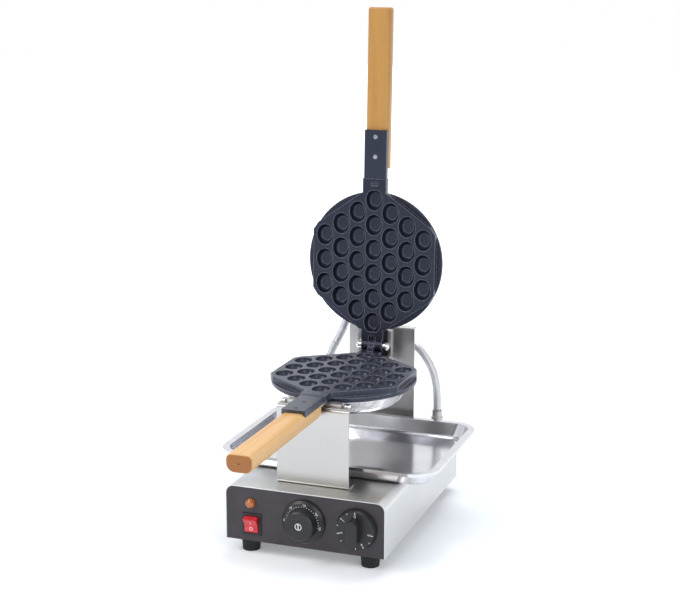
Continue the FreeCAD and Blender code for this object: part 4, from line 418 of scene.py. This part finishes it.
def dress_frame():
    """Materials of the solids that stay as they are."""
    steel = srgb(226, 226, 224)
    along_y = brushed("steel_brushed_along", steel, "y")
    upright = brushed("steel_brushed_upright", srgb(206, 204, 202), "z")
    across = brushed("steel_brushed_across", srgb(196, 193, 190), "x")
    dark = brushed("steel_rear", srgb(196, 194, 194), "z", (0.3, 0.42))
    bright = pressed_steel("bright_screws", srgb(232, 232, 232), 0.12, 0.22)
    machined = pressed_steel("machined_steel", srgb(188, 186, 184), 0.22, 0.36)
    tray = pressed_steel("tray_steel", srgb(228, 228, 232), 0.1, 0.2, True)
    dress(along_y, "base_housing")
    dress(upright, "front_bracket", "upper_terminal_box")
    dress(across, "front_rest", "base_bottom", "front_panel", "rear_panel")
    dress(dark, "rear_bracket", "rotor_yoke")
    dress(bright, "rear_panel_screws", "foot_screws", "front_rest_bolts", "bearing_screws")
    dress(bright, "yoke_screws", "hinge_pin", "hinge_nuts")
    dress(bright, "upper_cover_screws", "lower_cover_screws")
    sunk = pressed_steel("sunk_screws", srgb(168, 170, 178), 0.14, 0.24)
    dress(sunk, "upper_handle_screws")
    # Painted shade: the lower handle's screws get a near-black, rougher steel for screws like the
    # upper handle's that sit in shade
    dull = pressed_steel("sunk_screws_dull_painted_shade", srgb(26, 27, 32), 0.24, 0.38)
    dress(dull, "lower_handle_screws")
    dress(machined, "rotor_shaft", "shaft_collar", "rotor_bearing", "rear_cap")
    dress(machined, "thermostat_shaft", "timer_shaft", "conduit_glands")
    dress(tray, "drip_tray")
    dish = swirled_steel("spun_dish", srgb(226, 226, 228))
    dress(dish, "lower_cover", "upper_cover")
    heater = pressed_steel("heater_steel", srgb(112, 100, 92), 0.35, 0.5)
    dress(heater, "lower_heater", "upper_heater")
    dress(pressed_steel("bush_brass", srgb(206, 172, 96), 0.25, 0.4), "rotor_bush")
    # Lit and shaded copies of one coat: the upper pan's tones are painted darker as shade and the
    # lower pan's paler as light; each third tone is the painted edge highlight
    tones = (srgb(25, 26, 37), srgb(31, 32, 44), srgb(126, 128, 146))
    dress(coated_casting("coated_upper_painted_shade", *tones), "upper_pan")
    tones = (srgb(48, 50, 61), srgb(56, 58, 70), srgb(138, 140, 156))
    dress(coated_casting("coated_lower_painted_light", *tones), "lower_pan")
    # Lit and shaded copies of one coat: the upper arm's tones are painted darker as shade, and the
    # lower arm's paler as light on its top, with a stronger specular level
    tones = (srgb(28, 32, 48), srgb(35, 39, 56))
    dress(coated_sheet("coated_channel_upper_painted_shade", *tones, 0.5), "upper_handle_arm")
    tones = (srgb(40, 44, 58), srgb(47, 51, 66))
    dress(coated_sheet("coated_channel_lower_painted_light", *tones, 1.0), "lower_handle_arm")
    end = srgb(176, 110, 44)
    # Lit and shaded copies of one wood: the lower handle's tones are painted paler as light on its
    # top, and the upper handle's darker as shade on its front; the sawn ends share one tone
    tones = (srgb(232, 188, 126), srgb(206, 148, 80), end)
    lower_wood_painted_light = wood("wood_lower_painted_light", *tones, (0, 0, 0))
    tones = (srgb(202, 152, 76), srgb(176, 122, 54), end)
    upper_wood_painted_shade = wood("wood_upper_painted_shade", *tones, (UPPER_LEAN, 0, 0))
    dress(lower_wood_painted_light, "lower_handle")
    dress(upper_wood_painted_shade, "upper_handle")
    dress(moulded("panel_overlay", srgb(52, 46, 53), 0.4, 0.00001), "panel_overlay")
    black = moulded("black_plastic", srgb(30, 30, 34), 0.38)
    dress(black, "temperature_dial", "temperature_knob", "timer_knob", "switch_body")
    dress(black, "mains_gland", "thermostat_body", "timer_body", "lamp_body")
    dress(moulded("block_plastic", srgb(214, 208, 192), 0.5), "terminal_block")
    feet = [f"foot_{row}_{side}" for row in ("front", "rear") for side in ("left", "right")]
    dress(rubber("foot_rubber"), *feet)
    dress(red_plastic("rocker_red"), "switch_rocker")
    dress(amber("lens_amber"), "lamp_lens")


# Conduits: the route points, in millimetres
RIGHT_ROUTE = [
    (86.0, 262.7, 125.75),
    (86.0, 262.7, 150.0),
    (81.5, 265.2, 178.0),
    (68.0, 269.0, 203.0),
    (48.6, 272.8, 222.5),
    (24.6, 275.3, 232.0),
]
LEFT_LOWER_ROUTE = [
    (-86.0, 262.7, 125.75),
    (-86.0, 262.7, 147.0),
    (-92.5, 262.8, 174.0),
    (-87.0, 262.6, 202.0),
    (-76.76, 260.76, 219.66),
]
LEFT_UPPER_ROUTE = [
    (-76.6, 260.73, 219.94),
    (-66.85, 258.99, 236.74),
    (-56.28, 254.19, 262.1),
    (-46.31, 255.12, 285.55),
]
CONDUIT_RADIUS = 6 * MM
# Units of the tube's map once round it: the braid's strands follow them
MAP_ROUND = 10


def spline_points(route, name):
    """Points of the smooth line that has the route's points as its control points."""
    data = bpy.data.curves.new(name + "_line", "CURVE")
    data.dimensions = "3D"
    data.resolution_u = 14
    spline = data.splines.new("NURBS")
    spline.points.add(len(route) - 1)
    for point, at in zip(spline.points, route):
        point.co = (*mm(*at), 1)
    spline.order_u = 3
    spline.use_endpoint_u = True
    obj = bpy.data.objects.new(name + "_line", data)
    line = bpy.data.meshes.new_from_object(obj)
    points = [v.co.copy() for v in line.vertices]
    bpy.data.objects.remove(obj)
    return points


def tube(name, points, radius, sides=32):
    """A closed round tube along points, with a map that goes round it and along it."""
    mesh = bmesh.new()
    layer = mesh.loops.layers.uv.new("tube")
    axis = Vector((0, 1, 0))
    round_it = 2 * math.pi * radius
    rings = []
    lengths = [0.0]
    for before, after in zip(points, points[1:]):
        lengths.append(lengths[-1] + (after - before).length)
    for i, point in enumerate(points):
        ahead = points[min(i + 1, len(points) - 1)] - points[max(i - 1, 0)]
        ahead.normalize()
        side = (axis - ahead * axis.dot(ahead)).normalized()
        up = ahead.cross(side)
        ring = []
        for k in range(sides):
            angle = 2 * math.pi * k / sides
            out = side * math.cos(angle) + up * math.sin(angle)
            ring.append(mesh.verts.new(point + out * radius))
        rings.append(ring)
    for i, (low, high) in enumerate(zip(rings, rings[1:])):
        for k in range(sides):
            after = (k + 1) % sides
            face = mesh.faces.new((low[k], low[after], high[after], high[k]))
            face.smooth = True
            spots = ((k, i), (k + 1, i), (k + 1, i + 1), (k, i + 1))
            for loop, (around, row) in zip(face.loops, spots):
                across = around / sides * MAP_ROUND
                loop[layer].uv = (across, lengths[row] / round_it * MAP_ROUND)
    mesh.faces.new(list(reversed(rings[0])))
    mesh.faces.new(rings[-1])
    mesh.normal_update()
    return finished(name, mesh)


def finished(name, mesh):
    """An object in the scene, made of the mesh under construction."""
    data = bpy.data.meshes.new(name)
    mesh.to_mesh(data)
    mesh.free()
    obj = bpy.data.objects.new(name, data)
    bpy.context.scene.collection.objects.link(obj)
    return obj


def conduits():
    """The three hoses; the right one goes with the base, and the left one's halves, which run
    between the bodies at their ends, stay fixed where they are built.
    """
    finish = sleeve("conduit_sleeve")
    for node, route, ends in (
        ("right_conduit", RIGHT_ROUTE, None),
        ("left_conduit_lower", LEFT_LOWER_ROUTE, ("base", "rotor")),
        ("left_conduit_upper", LEFT_UPPER_ROUTE, ("rotor", "upper_pan")),
    ):
        points = spline_points(route, node)
        hose = tube(node + "_hose", points, CONDUIT_RADIUS)
        hose.data.materials.append(finish.material)
        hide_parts(node)
        if ends:
            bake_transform(hose)
        else:
            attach(hose, "base")


# Printed marks, in millimetres and degrees. The faces look forward, towards -Y
PANEL_Y = -75.1
KNOB_GAP = 0.4
DIAL_FACE = PANEL_Y - 7.0
KNOB_FACE = DIAL_FACE - KNOB_GAP - 14.4
SKIRT_FACE = PANEL_Y - KNOB_GAP - 8.5
KNOB_DISH = 0.4
# Places across the panel and up from the table
TEMPERATURE = (0.0, 58.5)
TIMER = (75.6, 58.4)
ROCKER = (-75.9, 44.8)
PRINT_THICK = 0.08
PRINT_LIFT = 0.06
# The temperature scale's first mark, and the steps of its marks and of its numbers
SCALE_START = -86
SCALE_STEP = 9.3
SCALE_NUMBERS = ("50", "100", "150", "200", "250")
NUMBER_STEP = 46.5
TIMER_STEP = 52.2


def flat_piece(name, outlines, y, material, body):
    """Thin printed shapes on a face at y: each outline is a list of across and height."""
    mesh = bmesh.new()
    for outline in outlines:
        face = mesh.faces.new([mesh.verts.new(mm(x, y, z)) for x, z in outline])
        face.normal_update()
        if face.normal.y > 0:
            face.normal_flip()
    grown = bmesh.ops.extrude_face_region(mesh, geom=list(mesh.faces))
    moved = [v for v in grown["geom"] if isinstance(v, bmesh.types.BMVert)]
    bmesh.ops.translate(mesh, verts=moved, vec=mm(0, -PRINT_THICK, 0))
    bmesh.ops.recalc_face_normals(mesh, faces=list(mesh.faces))
    obj = finished(name, mesh)
    obj.data.materials.append(material)
    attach(obj, body)


def polar(centre, angle, radius):
    """A point at a clock angle: 0 is up, and angles grow clockwise seen from the front."""
    turn = math.radians(angle)
    return centre[0] + radius * math.sin(turn), centre[1] + radius * math.cos(turn)


def tick(centre, angle, inner, outer, wide):
    """A straight mark that points to the centre."""
    turn = math.radians(angle)
    aside = (math.cos(turn) * wide / 2, -math.sin(turn) * wide / 2)
    low = polar(centre, angle, inner)
    high = polar(centre, angle, outer)
    return [
        (low[0] - aside[0], low[1] - aside[1]),
        (low[0] + aside[0], low[1] + aside[1]),
        (high[0] + aside[0], high[1] + aside[1]),
        (high[0] - aside[0], high[1] - aside[1]),
    ]


def ring_outlines(centre, inner, outer, steps):
    """Short four-cornered pieces that make a ring."""
    out = []
    for i in range(steps):
        a = 360 * i / steps
        b = 360 * (i + 1) / steps
        corners = ((a, inner), (b, inner), (b, outer), (a, outer))
        out.append([polar(centre, angle, radius) for angle, radius in corners])
    return out


def bar_outline(centre, half_wide, half_tall):
    """An upright bar."""
    x, z = centre
    return [
        (x - half_wide, z - half_tall),
        (x + half_wide, z - half_tall),
        (x + half_wide, z + half_tall),
        (x - half_wide, z + half_tall),
    ]


def number(name, text, centre, angle, radius, size, y, material, body):
    """A plain number that stands radially on a dial."""
    data = bpy.data.curves.new(name + "_text", "FONT")
    data.body = text
    data.size = size * MM
    data.align_x = "CENTER"
    data.align_y = "CENTER"
    data.extrude = 0.05 * MM
    # Makes the strokes bolder
    data.offset = 0.00004
    source = bpy.data.objects.new(name + "_text", data)
    bpy.context.scene.collection.objects.link(source)
    bpy.context.view_layer.update()
    mesh = bpy.data.meshes.new_from_object(source)
    bpy.data.objects.remove(source)
    x, z = polar(centre, angle, radius)
    turn = Matrix.Translation(mm(x, y, z)) @ Matrix.Rotation(math.radians(angle), 4, "Y")
    mesh.transform(turn @ Matrix.Rotation(math.pi / 2, 4, "X"))
    obj = bpy.data.objects.new(name, mesh)
    bpy.context.scene.collection.objects.link(obj)
    obj.data.materials.clear()
    obj.data.materials.append(material)
    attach(obj, body)


def marks():
    """The temperature scale, the sign on its knob, and the timer's scale on its skirt."""
    ink = print_ink("white_ink", srgb(236, 236, 240)).material
    angles = [SCALE_START + SCALE_STEP * i for i in range(21)]
    ticks = [tick(TEMPERATURE, angle, 22.4, 24.0, 0.8) for angle in angles]
    flat_piece("temperature_scale", ticks, DIAL_FACE, ink, "base")
    face = DIAL_FACE - PRINT_LIFT
    for i, text in enumerate(SCALE_NUMBERS):
        at = (TEMPERATURE, SCALE_START + NUMBER_STEP * i, 25.7)
        number(f"temperature_number_{text}", text, *at, 3.5, face, ink, "base")
    sign = ring_outlines(TEMPERATURE, 3.8, 4.9, 40)
    sign.append(bar_outline(TEMPERATURE, 0.75, 3.6))
    flat_piece("knob_sign", sign, KNOB_FACE + KNOB_DISH, ink, "temperature_knob")
    angles = [-TIMER_STEP * i for i in range(6)]
    ticks = [tick(TIMER, angle, 23.0, 25.9, 1.2) for angle in angles]
    ticks += [tick(TIMER, angle - TIMER_STEP / 2, 24.0, 25.9, 0.9) for angle in angles[:-1]]
    flat_piece("timer_scale", ticks, SKIRT_FACE, ink, "timer_knob")
    face = SKIRT_FACE - PRINT_LIFT
    for i, angle in enumerate(angles):
        at = (TIMER, angle, 20.1)
        number(f"timer_number_{i}", str(i), *at, 5.8, face, ink, "timer_knob")


def rocker_marks():
    """The on and off signs, laid on the rocker's two sloping faces."""
    ink = print_ink("rocker_ink", srgb(250, 236, 236)).material
    across, height = ROCKER
    pivot_y = PANEL_Y + 2.0
    # The two faces' profile, as depth and height
    top = (pivot_y - 12.4, height + 9.2)
    middle = (pivot_y - 6.81, height)
    bottom = (pivot_y - 5.5, height - 10.86)
    mesh = bmesh.new()

    def lay(points, start, end, share):
        """Points as across and up the slope, on the face between two profile points."""
        run = Vector((0, end[0] - start[0], end[1] - start[1]))
        slope = run.normalized()
        out = Vector((0, -slope.z, slope.y))
        base = Vector((across, *start)) + run * share + out * PRINT_LIFT
        spots = [base + Vector((x, 0, 0)) + slope * z for x, z in points]
        mesh.faces.new([mesh.verts.new(spot * MM) for spot in spots])

    lay(bar_outline((0, 0), 0.6, 2.2), middle, top, 0.42)
    for piece in ring_outlines((0, 0), 1.7, 2.6, 24):
        lay(piece, bottom, middle, 0.48)
    bmesh.ops.remove_doubles(mesh, verts=list(mesh.verts), dist=1e-7)
    bmesh.ops.recalc_face_normals(mesh, faces=list(mesh.faces))
    for face in mesh.faces:
        if face.normal.y > 0:
            face.normal_flip()
    obj = finished("rocker_signs", mesh)
    obj.data.materials.append(ink)
    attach(obj, "switch_rocker")


# Studio
PAPER = (0.9, 0.925, 0.965)
PAPER_GLOW = (0.97, 0.985, 1.0)
SOFT_LIGHT = (0.92, 0.96, 1.0)
# Distances from the object between which the floor fades to white
FADE_FROM = 0.45
FADE_TO = 2.2


def pale_floor():
    """Pale paper that keeps the object's shadow near it and turns white far away."""
    mesh = bmesh.new()
    bmesh.ops.create_grid(mesh, x_segments=8, y_segments=8, size=9)
    floor = finished("floor", mesh)
    floor.location.z = -0.2 * MM
    look = Look("floor_paper", PAPER, 0.9)
    grain = look.noise(look.place(), 300.0, 3.0, 0.6)
    look.colour(look.fade(grain, 0.3, 0.7, PAPER, shaded(PAPER, 0.985)))
    look.set(Specular_IOR_Level=0.15)
    glow = look.add("ShaderNodeEmission")
    glow.inputs["Color"].default_value = (*PAPER_GLOW, 1)
    rays = look.add("ShaderNodeLightPath")
    seen = look.math("MAXIMUM", rays.outputs["Is Camera Ray"], rays.outputs["Is Glossy Ray"])
    far = look.add("ShaderNodeVectorMath", operation="LENGTH")
    look.join(look.place(), far.inputs[0])
    rise = look.add("ShaderNodeMapRange", interpolation_type="SMOOTHSTEP")
    rise.inputs["From Min"].default_value = FADE_FROM
    rise.inputs["From Max"].default_value = FADE_TO
    rise.inputs["To Min"].default_value = 0.16
    look.join(far.outputs["Value"], rise.inputs["Value"])
    look.join(look.math("MULTIPLY", seen, rise.outputs["Result"]), glow.inputs["Strength"])
    both = look.add("ShaderNodeAddShader")
    look.join(look.shader.outputs[0], both.inputs[0])
    look.join(glow.outputs[0], both.inputs[1])
    look.join(both.outputs[0], look.tree.nodes["Material Output"].inputs["Surface"])
    floor.data.materials.append(look.material)


def surroundings():
    """A white backdrop, a soft light all round, and a room for the metal to mirror."""
    world = bpy.data.worlds.new("studio")
    bpy.context.scene.world = world
    world.use_nodes = True
    tree = world.node_tree
    tree.nodes.clear()

    def add(kind):
        return tree.nodes.new(kind)

    def background(colour, strength):
        node = add("ShaderNodeBackground")
        node.inputs["Color"].default_value = (*colour, 1)
        node.inputs["Strength"].default_value = strength
        return node

    def choose(fac, first, second):
        node = add("ShaderNodeMixShader")
        tree.links.new(fac, node.inputs[0])
        tree.links.new(first.outputs[0], node.inputs[1])
        tree.links.new(second.outputs[0], node.inputs[2])
        return node

    rays = add("ShaderNodeLightPath")
    direct = add("ShaderNodeMath")
    direct.operation = "MAXIMUM"
    tree.links.new(rays.outputs["Is Camera Ray"], direct.inputs[0])
    tree.links.new(rays.outputs["Is Transmission Ray"], direct.inputs[1])
    # Glossy rays see the white backdrop behind, and a greyer room in front
    where = add("ShaderNodeTexCoord")
    split = add("ShaderNodeSeparateXYZ")
    tree.links.new(where.outputs["Generated"], split.inputs[0])
    depth = add("ShaderNodeMapRange")
    depth.inputs["From Min"].default_value = -0.9
    depth.inputs["From Max"].default_value = 0.5
    depth.inputs["To Min"].default_value = 0.5
    tree.links.new(split.outputs["Y"], depth.inputs["Value"])
    soft = background(SOFT_LIGHT, 0.55)
    room = background(PAPER_GLOW, 1.0)
    tree.links.new(depth.outputs["Result"], room.inputs["Strength"])
    white = background((1.0, 1.0, 1.0), 1.0)
    indirect = choose(rays.outputs["Is Glossy Ray"], soft, room)
    every = choose(direct.outputs[0], indirect, white)
    out = add("ShaderNodeOutputWorld")
    tree.links.new(every.outputs[0], out.inputs["Surface"])


def lamp(name, at, target, size, power, colour=(1, 1, 1)):
    """A rectangular lamp at a place, turned towards its target."""
    data = bpy.data.lights.new(name, "AREA")
    data.shape = "RECTANGLE"
    data.size, data.size_y = size
    data.energy = power
    data.color = colour
    obj = bpy.data.objects.new(name, data)
    bpy.context.scene.collection.objects.link(obj)
    obj.location = at
    aim = Vector(target) - Vector(at)
    obj.rotation_euler = aim.to_track_quat("-Z", "Y").to_euler()


def lamps():
    warm = (1.0, 0.985, 0.96)
    cool = (0.97, 0.985, 1.0)
    lamp("key", (-1.5, -1.3, 2.0), (0, 0, 0.25), (1.3, 1.3), 34, warm)
    lamp("fill", (1.9, -1.2, 1.3), (0, 0, 0.25), (1.2, 1.6), 14, cool)
    lamp("top", (0.2, 0.9, 2.1), (0, 0.1, 0.2), (1.6, 1.0), 20)


def photo_view():
    """The camera at the photograph's place."""
    view = bpy.data.cameras.new("photo_view")
    view.sensor_width = 36
    view.sensor_fit = "HORIZONTAL"
    view.lens = 78.33
    view.clip_end = 60
    camera = bpy.data.objects.new("photo_view", view)
    bpy.context.scene.collection.objects.link(camera)
    camera.location = (0.6871, -1.8171, 0.7974)
    down, turn = 13.06, 20.04
    camera.rotation_euler = (math.radians(90 - down), 0, math.radians(turn))
    bpy.context.scene.camera = camera
    bpy.context.scene.view_settings.view_transform = "Standard"


photo_view()
pale_floor()
surroundings()
lamps()
conduits()
dress_frame()
marks()
rocker_marks()
